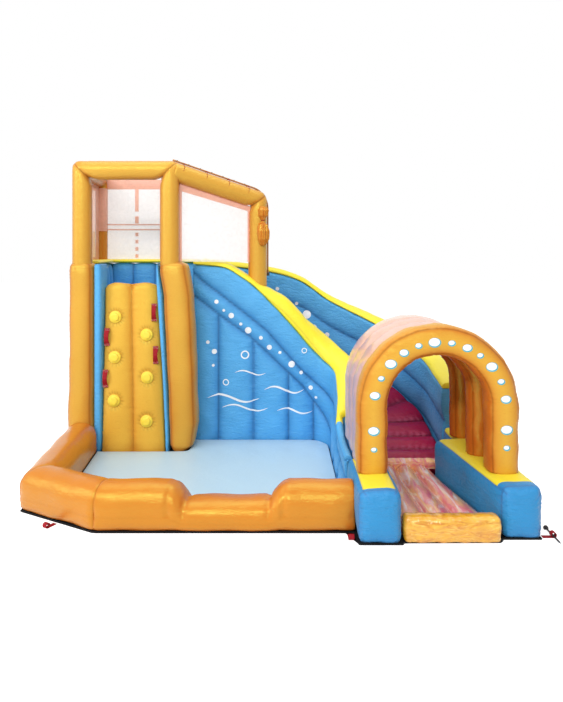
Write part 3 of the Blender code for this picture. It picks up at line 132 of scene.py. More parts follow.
OUTER_TOPS = (
    (0.0, 1.67), (0.68, 1.59), (1.07, 1.48), (1.41, 1.25), (2.02, 0.98), (2.4, 0.82),
    (2.78, 0.73), (3.27, 0.64),
)
LANE_TOPS = (
    (0.0, DECK_TOP), (0.2, 1.18), (0.5, 1.05), (1.0, 0.8), (1.5, 0.54), (1.95, 0.33),
    (2.27, 0.235), (2.6, 0.17), (3.05, 0.12),
)
BOLSTER_HEIGHT = 0.33
BOLSTER_BACK_Y = -0.3
RIGHT_BOLSTER_FRONT_Y = -1.62
ARCH_LEG = 0.44
ARCH_X = 1.19
ARCH_RADIUS = 0.438
RIB_X = 1.18
RIB_RADIUS = 0.41
RIB_TUBE = 0.095
COVER_FRONT_Y = -1.19
COVER_LENGTH = 0.74
MAT_FRONT_Y = -1.555
BUMPER_FRONT_Y = -1.68
HOLD_SPOTS = (
    (-1.355, 1.21), (-1.355, 0.85), (-1.355, 0.465), (-1.07, 1.05), (-1.06, 0.67), (-1.06, 0.285),
)
HANDLE_XS = (-1.428, -1.435, -1.005, -0.985)

def length_choice(name, told, default, low, high):
    return bpy.props.FloatProperty(
        name=name, description=told, default=default, min=low, max=high, unit="LENGTH")


def colour_choice(name, told, default):
    return bpy.props.FloatVectorProperty(
        name=name, description=told, default=default, subtype="COLOR", size=3, min=0, max=1)


class ParkSizes(bpy.types.PropertyGroup):
    """Sizes of the cloth and the small trim."""
    inner_seams: length_choice("Inner seams", "Depth of the inner slide wall's seams", 0.034, 0, 0.05)
    outer_seams: length_choice("Outer seams", "Depth of the outer slide wall's seams", 0.022, 0, 0.05)
    gather: length_choice("Gather", "Height of the folds beside those seams", 0.0045, 0, 0.01)
    fold_length: length_choice("Fold length", "From one gathered fold to the next", 0.042, 0.01, 0.2)
    grid_step: length_choice("Grid step", "Spacing of the points along a chamber", 0.013, 0.008, 0.05)
    thread: length_choice("Thread", "Width of one thread pair in the cloth", 0.0022, 0.0005, 0.01)
    tape_width: length_choice("Edge tape width", "Black tape round the base", 0.01, 0.004, 0.04)
    stitch_length: length_choice("Stitch length", "From one stitch to the next", 0.008, 0.003, 0.03)
    jet_spacing: length_choice("Jet spacing", "Between the jets of the spray hose", 0.11, 0.03, 0.5)
    print_lift: length_choice("Print lift", "Printed drops over the cloth", 0.0012, 0.0002, 0.005)


class ParkColours(bpy.types.PropertyGroup):
    """Colours of the park's cloths, films and plastics."""
    orange: colour_choice("Orange cloth", "Pool walls, rear frame and ribs", (0.62, 0.18, 0.02))
    # Painted shade: the orange cloths' darker colour beside their seams, in creases and on the arch's inner
    # side; it also tints their grain, seam lines and lower parts.
    deep_orange: colour_choice("Seam orange", "Orange cloth beside its seams", (0.56, 0.115, 0.01))
    # Painted light: a lighter, lit copy of the orange cloth, for the columns and the front and wing frame
    # tubes.
    amber: colour_choice("Amber cloth", "Columns and front frame tubes", (0.68, 0.325, 0.048))
    # Painted light: the lightest copy of the orange cloth, for the surfaces facing the light, the climbing
    # wall and the front arch; the holds take it as their darker tone.
    golden: colour_choice("Golden cloth", "Climbing wall and front arch", (0.76, 0.39, 0.05))
    blue: colour_choice("Blue cloth", "Slide walls, tower and linings", (0.095, 0.42, 0.81))
    # Painted shade: a darker copy of the blue cloth for the bolsters, which catch more light.
    bolster: colour_choice("Bolster cloth", "Bolsters beside the run-out", (0.012, 0.26, 0.57))
    # Painted shade: the blue cloths' darker colour beside their seams and in their creases; it also tints
    # their grain, seam lines and lower parts.
    deep_blue: colour_choice("Seam blue", "Blue cloth beside its seams", (0.035, 0.22, 0.55))
    yellow: colour_choice("Yellow cloth", "Tops of walls and bolsters", (0.96, 0.82, 0.03))
    pool: colour_choice("Pool floor", "Light blue floor of the pool", (0.5, 0.69, 0.81))
    crimson: colour_choice("Slide lane", "Glossy lane of the slide", (0.36, 0.001, 0.035))
    salmon: colour_choice("Salmon film", "Net borders and straps", (0.86, 0.45, 0.33))
    cover: colour_choice("Cover film", "See-through cover of the tunnel", (0.84, 0.47, 0.35))
    hold: colour_choice("Holds", "Round climbing holds", (0.93, 0.68, 0.05))
    net: colour_choice("Net", "White safety nets", (0.95, 0.93, 0.92))
    webbing: colour_choice("Red webbing", "Handles, tabs, ties and switch", (0.33, 0.0, 0.008))
    base: colour_choice("Base cloth", "Sheet and tape under the park", (0.012, 0.012, 0.014))
    mat: colour_choice("Mat film", "Clear pink film of the landing mat", (0.86, 0.17, 0.22))
    gold: colour_choice("Gold film", "Bumper before the landing mat", (0.82, 0.43, 0.028))
    hose: colour_choice("Hose", "Spray hose and its connector", (0.4, 0.16, 0.03))
    blower: colour_choice("Blower", "Housing of the blower", (0.03, 0.16, 0.45))
    dark: colour_choice("Dark plastic", "Grille, motor, wheel and nut", (0.02, 0.02, 0.022))
    drops: colour_choice("Printed drops", "White of the printed drops", (0.9, 0.93, 0.96))
    drop_edge: colour_choice("Drop edge", "Shade round the arch's drops", (0.05, 0.33, 0.42))


def park_sizes():
    return bpy.context.scene.park_sizes


# Node trees

def put(tree, node, inputs):
    """Sets a node's inputs to values, or links them to a socket or a node's first output."""
    for name, value in inputs.items():
        if isinstance(value, bpy.types.Node):
            value = value.outputs[0]
        if isinstance(value, bpy.types.NodeSocket):
            tree.links.new(value, node.inputs[name])
        else:
            node.inputs[name].default_value = value


def add(tree, kind, inputs=None, **settings):
    made = tree.nodes.new(kind)
    for name, value in settings.items():
        setattr(made, name, value)
    put(tree, made, inputs or {})
    return made


def maths(tree, operation, a, b=0.0):
    return add(tree, "ShaderNodeMath", {0: a, 1: b}, operation=operation)


def mixed(tree, share, a, b):
    """A colour between two colours or sockets."""
    a, b = (part if isinstance(part, bpy.types.NodeSocket) else (*part[:3], 1) for part in (a, b))
    return add(tree, "ShaderNodeMix", {0: share, 6: a, 7: b}, data_type="RGBA").outputs[2]


def noise(tree, vector, scale, detail, **more):
    inputs = {"Vector": vector, "Scale": scale, "Detail": detail, **more}
    return add(tree, "ShaderNodeTexNoise", inputs)


def ranged(tree, value, low, high, to_low=0.0, to_high=1.0):
    inputs = {"Value": value, "From Min": low, "From Max": high, "To Min": to_low, "To Max": to_high}
    return add(tree, "ShaderNodeMapRange", inputs)


def bump(tree, height, strength, distance, **more):
    inputs = {"Height": height, "Strength": strength, "Distance": distance, **more}
    return add(tree, "ShaderNodeBump", inputs)


def marked(tree, name):
    return add(tree, "ShaderNodeAttribute", attribute_name=name).outputs["Fac"]


def shade(colour, factor):
    return tuple(min(1.0, part * factor) for part in colour[:3])


def waved(tree, lie, pitch, **settings):
    """Even ridges across the cloth's own coordinates."""
    inputs = {"Vector": lie, "Scale": 0.314 / pitch}
    return add(tree, "ShaderNodeTexWave", inputs, **settings).outputs["Fac"]


def woven(tree, lie, pitch):
    """Height of a plain weave, threads along both directions of the cloth."""
    warp, weft = (waved(tree, lie, pitch, bands_direction=way) for way in "XY")
    return maths(tree, "MAXIMUM", warp, weft)


# Finishes: each gives the shader's inputs, from the object's own and the cloth's coordinates

def cloth(tree, spot, lie, colour, deep=None, rough=0.42, crinkle=0.7, sheen=0.1, tint=(1, 1, 1),
          level=0.5, worn=0.1):
    """Coated woven cloth: threads, fine crinkles, uneven dye, painted shade beside the seams and in creases,
    and darker towards the floor.
    """
    deep = deep or shade(colour, 0.6)
    flat = add(tree, "ShaderNodeMapping", {"Vector": spot, "Scale": (1.0, 1.0, 3.2)})
    crinkles = noise(tree, flat, 15, 5, Roughness=0.62, Distortion=0.8)
    puckers = noise(tree, flat, 52, 3, Distortion=0.4)
    fine = bump(tree, woven(tree, lie, park_sizes().thread), 0.25, 0.0003)
    small = bump(tree, puckers, crinkle, 0.002, Normal=fine)
    soft = bump(tree, crinkles, crinkle, 0.014, Normal=small)
    clouds = noise(tree, spot, 2.3, 3)
    uneven = mixed(tree, clouds, shade(colour, 1 - worn), shade(colour, 1 + worn * 0.7))
    grained = mixed(tree, ranged(tree, puckers, 0.56, 0.75, 0, 0.22), uneven, deep)
    # Painted shade beside the seams and in creases, from the rim attribute.
    seam_shaded = mixed(tree, marked(tree, "rim"), grained, deep)
    sewn = mixed(tree, maths(tree, "MULTIPLY", marked(tree, "seam"), 0.7), seam_shaded, shade(deep, 0.45))
    low = add(tree, "ShaderNodeSeparateXYZ", {0: spot}).outputs["Z"]
    # Darker towards the floor.
    darker_low = mixed(tree, ranged(tree, low, 0.0, 0.12, 0.3, 0.0), sewn, shade(deep, 0.8))
    gloss = ranged(tree, crinkles, 0, 1, rough - 0.06, rough + 0.08)
    return {"Base Color": darker_low, "Roughness": gloss, "Normal": soft, "Specular IOR Level": level,
            "Sheen Weight": sheen, "Sheen Roughness": 0.4, "Specular Tint": (*tint, 1),
            "Sheen Tint": (*tint, 1)}


def film(tree, spot, lie, colour, second, clear, rough, crinkle, streak=(7.0, 2.2, 7.0), painted_glint=None):
    """Thin glossy film: streaky colour, with pale streaks as painted highlights where given, tight creases
    and a see-through share.
    """
    streaks = add(tree, "ShaderNodeMapping", {"Vector": spot, "Scale": streak})
    streaky = noise(tree, streaks, 2.4, 5, Distortion=1.5)
    base = mixed(tree, ranged(tree, streaky, 0.36, 0.64), colour, second)
    if painted_glint:
        base = mixed(tree, ranged(tree, streaky.outputs["Color"], 0.51, 0.66), base, painted_glint)
    sewn = mixed(tree, maths(tree, "MULTIPLY", marked(tree, "seam"), 0.5), base, shade(second, 0.55))
    creases = bump(tree, noise(tree, spot, 26, 5, Distortion=1.2), crinkle, 0.006)
    return {"Base Color": sewn, "Normal": creases, "Roughness": rough, "Alpha": 1 - clear,
            "Coat Weight": 0.6, "Coat Roughness": 0.12}


def net(tree, spot, lie, colour):
    """Knitted net: a fine grid of open holes between soft white yarns."""
    yarn = ranged(tree, woven(tree, lie, 0.004), 0.5, 0.62, 0, 0.62)
    clouds = noise(tree, spot, 16, 5, Distortion=1.0)
    dense = ranged(tree, clouds, 0.3, 0.7, 0.3, 0.55)
    alpha = maths(tree, "MAXIMUM", maths(tree, "MULTIPLY", yarn, 0.95), dense)
    tone = mixed(tree, clouds, shade(colour, 0.93), shade(colour, 1.06))
    return {"Base Color": tone, "Alpha": alpha, "Roughness": 0.8, "Sheen Weight": 0.2}


def webbing(tree, spot, lie, colour):
    """Ribbed woven tape."""
    ribs = waved(tree, lie, 0.0018, bands_direction="X", wave_profile="TRI")
    rows = bump(tree, maths(tree, "ADD", ribs, woven(tree, lie, 0.0012)), 0.6, 0.0006)
    tone = mixed(tree, noise(tree, spot, 60, 2), shade(colour, 0.75), shade(colour, 1.15))
    return {"Base Color": tone, "Normal": rows, "Roughness": 0.62, "Specular IOR Level": 0.3}


def plastic(tree, spot, lie, colour, rough=0.42):
    """Moulded plastic with a fine grain and slightly rubbed tone."""
    grain = bump(tree, noise(tree, spot, 260, 2), 0.2, 0.0005)
    rubbed = noise(tree, spot, 9, 4)
    tone = mixed(tree, rubbed, shade(colour, 0.85), shade(colour, 1.2))
    gloss = ranged(tree, rubbed, 0, 1, rough - 0.08, rough + 0.1)
    return {"Base Color": tone, "Roughness": gloss, "Normal": grain}


def ink(tree, spot, lie, colour, second):
    """Screen-printed ink with a faint mottle."""
    return {"Base Color": mixed(tree, noise(tree, spot, 40, 3), colour, second), "Roughness": 0.4}


def finish(name):
    """The material of that name, made from the chosen colours when it is first asked for."""
    if name in bpy.data.materials:
        return bpy.data.materials[name]
    pick = bpy.context.scene.park_colours
    satin = {"tint": (0.55, 1.0, 0.2), "level": 1.0, "sheen": 0.03, "crinkle": 0.28}
    gleam = {"tint": (1, 0.3, 0.55), "sheen": 0.0, "worn": 0.3}
    even = {"worn": 0.03}
    maker, values, more = {
        "cloth_orange": (cloth, (pick.orange, pick.deep_orange, 0.23), satin),
        # Painted light: the next two are lighter, lit copies of the orange cloth.
        "cloth_amber": (cloth, (pick.amber, pick.deep_orange, 0.3), satin),
        "cloth_golden": (cloth, (pick.golden, pick.deep_orange, 0.38), satin),
        "cloth_blue": (cloth, (pick.blue, pick.deep_blue, 0.42), {"tint": (0.7, 0.95, 1.0)}),
        # Painted shade: a darker copy of the blue cloth.
        "cloth_bolster": (cloth, (pick.bolster, pick.deep_blue, 0.42), {}),
        "cloth_yellow": (cloth, (pick.yellow, shade(pick.yellow, 0.8), 0.45, 0.3), even),
        "cloth_hold": (cloth, (pick.hold, pick.golden, 0.42, 0.4), even),
        "cloth_pool": (cloth, (pick.pool, shade(pick.pool, 0.9), 0.38, 0.2, 0.0), even),
        "cloth_crimson": (cloth, (pick.crimson, shade(pick.crimson, 0.3), 0.22, 0.3), gleam),
        "cloth_black": (cloth, (pick.base, None, 0.7, 0.3, 0), {"level": 0.15}),
        "film_salmon": (film, (pick.cover, shade(pick.cover, 1.1), 0.1, 0.3, 0.15), {}),
        "hem_salmon": (film, (pick.salmon, shade(pick.salmon, 1.1), 0.12, 0.45, 0.2), {}),
        # Painted highlights: the mat and gold films' pale streaks; the gold film's darker streaks are
        # painted crease shade.
        "film_mat": (film, (pick.mat, (1.0, 0.56, 0.2), 0.0, 0.14, 0.7),
                     {"streak": (7, 1.0, 7), "painted_glint": (1, 0.92, 0.94)}),
        "film_gold": (film, (pick.gold, (0.66, 0.25, 0.015), 0.0, 0.2, 0.9),
                      {"streak": (4, 4, 15), "painted_glint": (0.95, 0.6, 0.1)}),
        "net_white": (net, (pick.net,), {}),
        "webbing_red": (webbing, (pick.webbing,), {}),
        "hose_plastic_grey": (plastic, (pick.hose, 0.35), {}),
        "blower_shell": (plastic, (pick.blower,), {}),
        "plastic_dark": (plastic, (pick.dark, 0.5), {}),
        "switch_red": (plastic, (pick.webbing, 0.3), {}),
        "thread_light": (ink, ((0.8, 0.75, 0.65), (0.7, 0.66, 0.58)), {}),
        "ink_white": (ink, (pick.drops, shade(pick.drops, 0.93)), {}),
        "ink_teal": (ink, (pick.drop_edge, shade(pick.drop_edge, 1.5)), {}),
    }[name]
    made = bpy.data.materials.new(name)
    made.use_nodes = True
    tree = made.node_tree
    spot = add(tree, "ShaderNodeTexCoord").outputs["Object"]
    lie = add(tree, "ShaderNodeUVMap", uv_map="cloth")
    put(tree, tree.nodes["Principled BSDF"], maker(tree, spot, lie, *values, **more))
    return made


# Geometry node trees

def open_tree(name, sizes, objects=()):
    """A geometry tree with its input node and named inputs."""
    tree = bpy.data.node_groups.new(name, "GeometryNodeTree")
    face = tree.interface
    face.new_socket("Geometry", in_out="INPUT", socket_type="NodeSocketGeometry")
    for title, default in sizes:
        made = face.new_socket(title, in_out="INPUT", socket_type="NodeSocketFloat")
        made.default_value = default
        made.subtype = "DISTANCE"
    for title in objects:
        face.new_socket(title, in_out="INPUT", socket_type="NodeSocketObject")
    face.new_socket("Material", in_out="INPUT", socket_type="NodeSocketMaterial")
    face.new_socket("Geometry", in_out="OUTPUT", socket_type="NodeSocketGeometry")
    start = add(tree, "NodeGroupInput")
    return tree, {socket.name: socket for socket in start.outputs}


def close_tree(tree, start, geometry):
    real = add(tree, "GeometryNodeRealizeInstances", {"Geometry": geometry})
    smooth = add(tree, "GeometryNodeSetShadeSmooth", {"Geometry": real})
    painted = add(tree, "GeometryNodeSetMaterial", {"Geometry": smooth, "Material": start["Material"]})
    add(tree, "NodeGroupOutput", {0: painted})
    return tree


def tape_tree(title):
    """A flat or round band along a line of edges."""
    tree, start = open_tree(title, (("Width", 0.01), ("Height", 0.01)))
    line = add(tree, "GeometryNodeMeshToCurve", {"Mesh": start["Geometry"]})
    upright = add(tree, "GeometryNodeSetCurveNormal", {"Curve": line}, mode="Z_UP")
    ring = add(tree, "GeometryNodeCurvePrimitiveCircle", {"Resolution": 10, "Radius": 0.5})
    size = add(tree, "ShaderNodeCombineXYZ", {"X": start["Width"], "Y": start["Height"], "Z": 1.0})
    profile = add(tree, "GeometryNodeTransform", {"Geometry": ring, "Scale": size})
    band = add(tree, "GeometryNodeCurveToMesh", {"Curve": upright, "Profile Curve": profile,
                                                 "Fill Caps": True})
    return close_tree(tree, start, band)


def spaced_tree(title):
    """Small rounded pieces at even steps along a line, each turned along it."""
    sizes = (("Spacing", 0.01), ("Length", 0.005), ("Width", 0.001), ("Height", 0.001))
    tree, start = open_tree(title, sizes)
    line = add(tree, "GeometryNodeMeshToCurve", {"Mesh": start["Geometry"]})
    even = add(tree, "GeometryNodeResampleCurve", {"Curve": line, "Length": start["Spacing"]},
               mode="LENGTH")
    along = add(tree, "GeometryNodeInputTangent")
    turn = add(tree, "FunctionNodeAlignRotationToVector", {"Vector": along}, axis="X")
    bead = add(tree, "GeometryNodeMeshIcoSphere", {"Radius": 0.5, "Subdivisions": 2})
    size = add(tree, "ShaderNodeCombineXYZ", {"X": start["Length"], "Y": start["Width"],
                                              "Z": start["Height"]})
    pieces = add(tree, "GeometryNodeInstanceOnPoints", {"Points": even, "Instance": bead,
                                                        "Rotation": turn, "Scale": size})
    return close_tree(tree, start, pieces)


def print_tree(title):
    """Flat shapes laid on a target's surface, seen from the front."""
    tree, start = open_tree(title, (("Lift", 0.001),), ("Target",))
    target = add(tree, "GeometryNodeObjectInfo", {"Object": start["Target"]},
                 transform_space="RELATIVE").outputs["Geometry"]
    ray = add(tree, "GeometryNodeRaycast", {"Target Geometry": target, "Ray Length": 20.0,
                                            "Ray Direction": (0.0, 1.0, 0.0)})
    hit = {socket.name: socket for socket in ray.outputs}
    lift = add(tree, "ShaderNodeVectorMath", {0: hit["Hit Normal"], "Scale": start["Lift"]},
               operation="SCALE")
    place = add(tree, "ShaderNodeVectorMath", {0: hit["Hit Position"], 1: lift})
    laid = add(tree, "GeometryNodeSetPosition", {"Geometry": start["Geometry"],
                                                 "Selection": hit["Is Hit"], "Position": place})
    missed = add(tree, "FunctionNodeBooleanMath", {0: hit["Is Hit"]}, operation="NOT")
    kept = add(tree, "GeometryNodeDeleteGeometry", {"Geometry": laid, "Selection": missed})
    return close_tree(tree, start, kept)


def grown(name, source, maker, **inputs):
    """The plain mesh object that a maker's geometry tree makes from a source mesh."""
    title = maker.__name__.replace("_", " ")
    tree = bpy.data.node_groups.get(title) or maker(title)
    modifier = source.modifiers.new("grow", "NODES")
    modifier.node_group = tree
    for item in tree.interface.items_tree:
        if item.item_type == "SOCKET" and item.in_out == "INPUT" and item.name in inputs:
            modifier[item.identifier] = inputs[item.name]
    bpy.context.scene.collection.objects.link(source)
    graph = bpy.context.evaluated_depsgraph_get()
    mesh = bpy.data.meshes.new_from_object(source.evaluated_get(graph))
    bpy.data.objects.remove(source)
    if not mesh.polygons:
        raise RuntimeError(f"{name}: its geometry tree made no faces")
    mesh.name = name
    return shown(name, mesh)


def shown(name, data):
    """A new object in the scene for a mesh, a lamp or a camera."""
    made = bpy.data.objects.new(name, data)
    bpy.context.scene.collection.objects.link(made)
    return made


def line_source(name, lines, close=False):
    """A mesh of edges through each line's points, given in the frame's own metres."""
    points, edges = [], []
    for line in lines:
        first = len(points)
        points += [tuple(point) for point in line]
        edges += [(k, k + 1) for k in range(first, len(points) - 1)]
        if close:
            edges.append((len(points) - 1, first))
    mesh = bpy.data.meshes.new(name)
    mesh.from_pydata(points, edges, [])
    return bpy.data.objects.new(name + "_line", mesh)


def taped(name, lines, width, height, material, close=False):
    return grown(name, line_source(name, lines, close), tape_tree, Width=width, Height=height,
                 Material=finish(material))


def beaded(name, lines, spacing, length, width, height, material):
    return grown(name, line_source(name, lines), spaced_tree, Spacing=spacing, Length=length,
                 Width=width, Height=height, Material=finish(material))


AIRED = []


def seat(obj, nodes=(), fill=None, body="park"):
    """Puts a finished piece on its body, in place of the nodes it stands for."""
    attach(obj, body)
    if nodes:
        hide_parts(*nodes)
    if fill is not None:
        AIRED.append(obj.name)
    return obj


# Cloth surfaces

UP = np.array((0.0, 0.0, 1.0))
FAR = 9.0


def unit(vectors):
    """The same directions at length one."""
    return vectors / np.maximum(norm(vectors, axis=-1, keepdims=True), 1e-12)


def eased(t):
    t = min(max(t, 0), 1)
    return t * t * (3 - 2 * t)


def levelled(stations, s):
    """The value at s on a smooth line through (distance, value) stations."""
    if s <= stations[0][0]:
        return stations[0][1]
    for i in range(len(stations) - 1):
        (s0, v0), (s1, v1) = stations[i], stations[i + 1]
        if s <= s1:
            before = stations[max(i - 1, 0)]
            after = stations[min(i + 2, len(stations) - 1)]
            slope0 = (v1 - before[1]) / (s1 - before[0])
            slope1 = (after[1] - v0) / (after[0] - s0)
            t = (s - s0) / (s1 - s0)
            bend = (t**3 - 2 * t**2 + t) * slope0 + (t**3 - t**2) * slope1
            return v0 + (v1 - v0) * eased(t) + (s1 - s0) * bend
    return stations[-1][1]


def between(levels, at, k=1):
    """A table's value in column k, straight between its rows."""
    return np.interp(at, [level[0] for level in levels], [level[k] for level in levels])


def spread(points, count, closed=True):
    """Points at even steps along an outline."""
    points = np.array([*points, points[0]] if closed else points, float)
    far = np.concatenate(([0], np.cumsum(norm(np.diff(points, axis=0), axis=1))))
    marks = np.linspace(0, far[-1], count + 1)
    return np.stack([np.interp(marks, far, column) for column in points.T], axis=1)


def plump(width, height, power, count, foot=None):
    """A plump rectangle's outline as (across, up) points from its lowest middle. Its lower
    half may have a power of its own, for a squarer foot."""
    angles = np.linspace(-pi / 2, 1.5 * pi, 257)[:-1]
    c, s = np.cos(angles), np.sin(angles)
    power = np.where(s < 0, foot or power, power)
    across = np.sign(c) * np.abs(c) ** (2 / power) * width / 2
    up = np.sign(s) * np.abs(s) ** (2 / power) * height / 2 + height / 2
    return spread(np.stack([across, up], axis=1), count)


def circle(radius, count=40):
    angles = np.linspace(0, tau, count + 1)
    return np.stack([np.cos(angles), np.sin(angles)], axis=1) * radius


def rounded_route(corners, radius, arc_steps, stride):
    """Points along a polyline with rounded corners, the straight runs split by the stride."""
    corners = [Vector(corner) for corner in corners]
    points = [corners[0]]
    for before, here, after in zip(corners, corners[1:], corners[2:]):
        back = (before - here).normalized()
        ahead = (after - here).normalized()
        half = back.angle(ahead) / 2
        reach = radius / tan(half)
        centre = here + (back + ahead).normalized() * radius / sin(half)
        turn = (here + back * reach - centre).normalized()
        across = (here + ahead * reach - centre).normalized()
        across = (across - turn * turn.dot(across)).normalized()
        for k in range(arc_steps + 1):
            angle = (pi - 2 * half) * k / arc_steps
            points.append(centre + radius * (turn * cos(angle) + across * sin(angle)))
    points.append(corners[-1])
    fine = [points[0]]
    for low, high in zip(points, points[1:]):
        pieces = max(1, round((high - low).length / stride))
        fine += [low.lerp(high, k / pieces) for k in range(1, pieces + 1)]
    return fine


def flat_route(points, stride, radius=0.0, arc_steps=1):
    return rounded_route([(x, y, 0) for x, y in points], radius, arc_steps, stride)


def shifted(points, distance):
    """A flat outline's points moved to its left by a distance, its corners kept sharp."""
    points = np.array(points, float)
    ways = unit(np.diff(points, axis=0))
    sides = np.stack([-ways[:, 1], ways[:, 0]], axis=1)
    out = [points[0] + sides[0] * distance]
    for point, before, after in zip(points[1:], sides, sides[1:]):
        out.append(point + (before + after) * distance / (1 + before @ after))
    out.append(points[-1] + sides[-1] * distance)
    return [tuple(point) for point in out]


def folds(along, seed):
    """Uneven small folds along a seam, from -1 to 1."""
    turns = along * tau / park_sizes().fold_length
    uneven = 0.65 + 0.35 * np.sin(turns * 0.23 + 2 * seed)
    return np.sin(turns + 2.1 * np.sin(turns * 0.37 + seed)) * uneven


def seam_line(points, u, v):
    """A seam along (u, v) points: how far off everything is, and how far along."""
    near, along, run = np.full(u.shape, FAR), np.zeros(u.shape), 0.0
    for (a, b), (c, d) in zip(points, points[1:]):
        length = hypot(c - a, d - b)
        t = np.clip(((u - a) * (c - a) + (v - b) * (d - b)) / length**2, 0, 1)
        gap = np.hypot(u - a - t * (c - a), v - b - t * (d - b))
        along = np.where(gap < near, run + t * length, along)
        near = np.minimum(near, gap)
        run += length
    return near, along


class Skin:
    """A cloth surface as a grid of points, with its lengths along (u) and across (v), the
    darkness of its seams, the painted shade beside them and in creases (rim) and each face's finish."""

    def __init__(self, grid, wraps=True):
        self.grid = np.array(grid, float)
        self.wraps = wraps
        self.hollow = False
        self.outwards = 1
        along = norm(np.diff(self.grid, axis=0), axis=2)
        across = norm(np.diff(self.grid, axis=1), axis=2)
        self.u = np.pad(np.cumsum(along, axis=0), ((1, 0), (0, 0)))
        self.v = np.pad(np.cumsum(across, axis=1), ((0, 0), (1, 0)))
        self.dark = np.zeros(self.u.shape)
        self.rim = np.zeros(self.u.shape)
        self.paint = np.zeros(np.subtract(self.u.shape, 1), int)

    def facing(self):
        grid = self.grid
        if self.wraps:
            padded = np.concatenate([grid[:, -2:-1], grid, grid[:, 1:2]], axis=1)
            across = padded[:, 2:] - padded[:, :-2]
        else:
            across = np.gradient(grid, axis=1)
        normal = unit(np.cross(np.gradient(grid, axis=0), across))
        if self.wraps:
            middle = grid[:, :-1].mean(axis=1, keepdims=True)
            self.outwards = 1 if ((grid - middle) * normal).sum() > 0 else -1
        return normal * self.outwards

    def seam(self, at):
        """A seam round a row, by its whole number, or along a share of the way across."""
        if isinstance(at, int):
            return np.abs(self.u - self.u[at]), self.v
        if not isinstance(at, float):
            return at
        column = at * (self.v.shape[1] - 1)
        low = int(column)
        high = min(low + 1, self.v.shape[1] - 1)
        middle = self.v[:, low] + (self.v[:, high] - self.v[:, low]) * (column - low)
        near = np.abs(self.v - middle[:, None])
        if self.wraps:
            near = np.minimum(near, self.v[:, -1:] - near)
        return near, self.u

    def mark(self, near, dark, width, rim=0.0, reach=0.1):
        """Darkens a seam's own line, partly its stitching and partly painted shade in its crease, and paints
        shade beside it (rim).
        """
        self.dark = np.maximum(self.dark, dark * np.exp(-(near / width) ** 2))
        self.rim = np.maximum(self.rim, rim * np.exp(-near / reach))

    def dent(self, amount):
        self.grid = self.grid - self.facing() * amount[..., None]

    def quilt(self, seams, reach, depth, gather, dark=1.0):
        """Pulls the cloth in along seams and gathers it beside them, with painted shade along and beside
        each seam.
        """
        dent, small = np.zeros(self.u.shape), np.zeros(self.u.shape)
        for k, (near, along) in enumerate(map(self.seam, seams)):
            share = 1 - np.clip(near / reach, 0, 1)
            dent = np.maximum(dent, depth * (1 - np.sqrt(np.maximum(0, 1 - share**2))))
            fade = np.exp(-near / (0.35 * reach)) * (1 - np.exp(-near / 0.006))
            small += gather * folds(along, 1.3 * k + 0.4) * fade
            self.mark(near, dark, 0.007, min(1, 1.3 * dark), 0.3 * reach)
        self.dent(dent + small)

    def waves(self, height, length, seed):
        """Broad uneven swells all over."""
        x, y, z = np.moveaxis(self.grid, 2, 0) * tau / length
        swell = np.sin(x + 1.7 * np.sin(0.6 * z + seed)) * np.sin(0.8 * y + seed)
        self.dent(height * 0.5 * (swell + np.sin(z + 1.3 * np.sin(x))))

    def close_ends(self, first, last, steps=6):
        """Puffs both ends of a wrapped grid closed. None leaves an end as a flat face."""
        layers = [self.grid, self.u, self.v, self.dark, self.rim, self.paint]
        for bulge, sign in ((first, -1), (last, 1)):
            if bulge is not None:
                layers = [layer[::-sign] for layer in layers]
                rim, inner = layers[0][:2]
                middle = rim[:-1].mean(axis=0)
                away = unit(middle - inner[:-1].mean(axis=0))
                reach = norm(rim - middle, axis=1, keepdims=True)
                step = sign * reach.mean() * pi / 2 / steps
                round_rim = (rim - middle) / reach * reach.min()
                for k in range(1, steps + 1):
                    angle = pi / 2 * k / steps
                    share = max(cos(angle), 0.03)
                    rounded = (rim - middle) * share + round_rim * (1 - share)
                    row = middle + rounded * share + away * bulge * sin(angle)
                    u, v, dark, deep, paint = (layer[0] for layer in layers[1:])
                    # The closing rows keep three quarters of the painted shade beside the seams.
                    rows = (row, u + step, v, dark * 0, deep * 0.75, paint)
                    layers = [np.concatenate([row[None], layer]) for row, layer in zip(rows, layers)]
                layers = [layer[::-sign] for layer in layers]
        self.grid, self.u, self.v, self.dark, self.rim, self.paint = layers


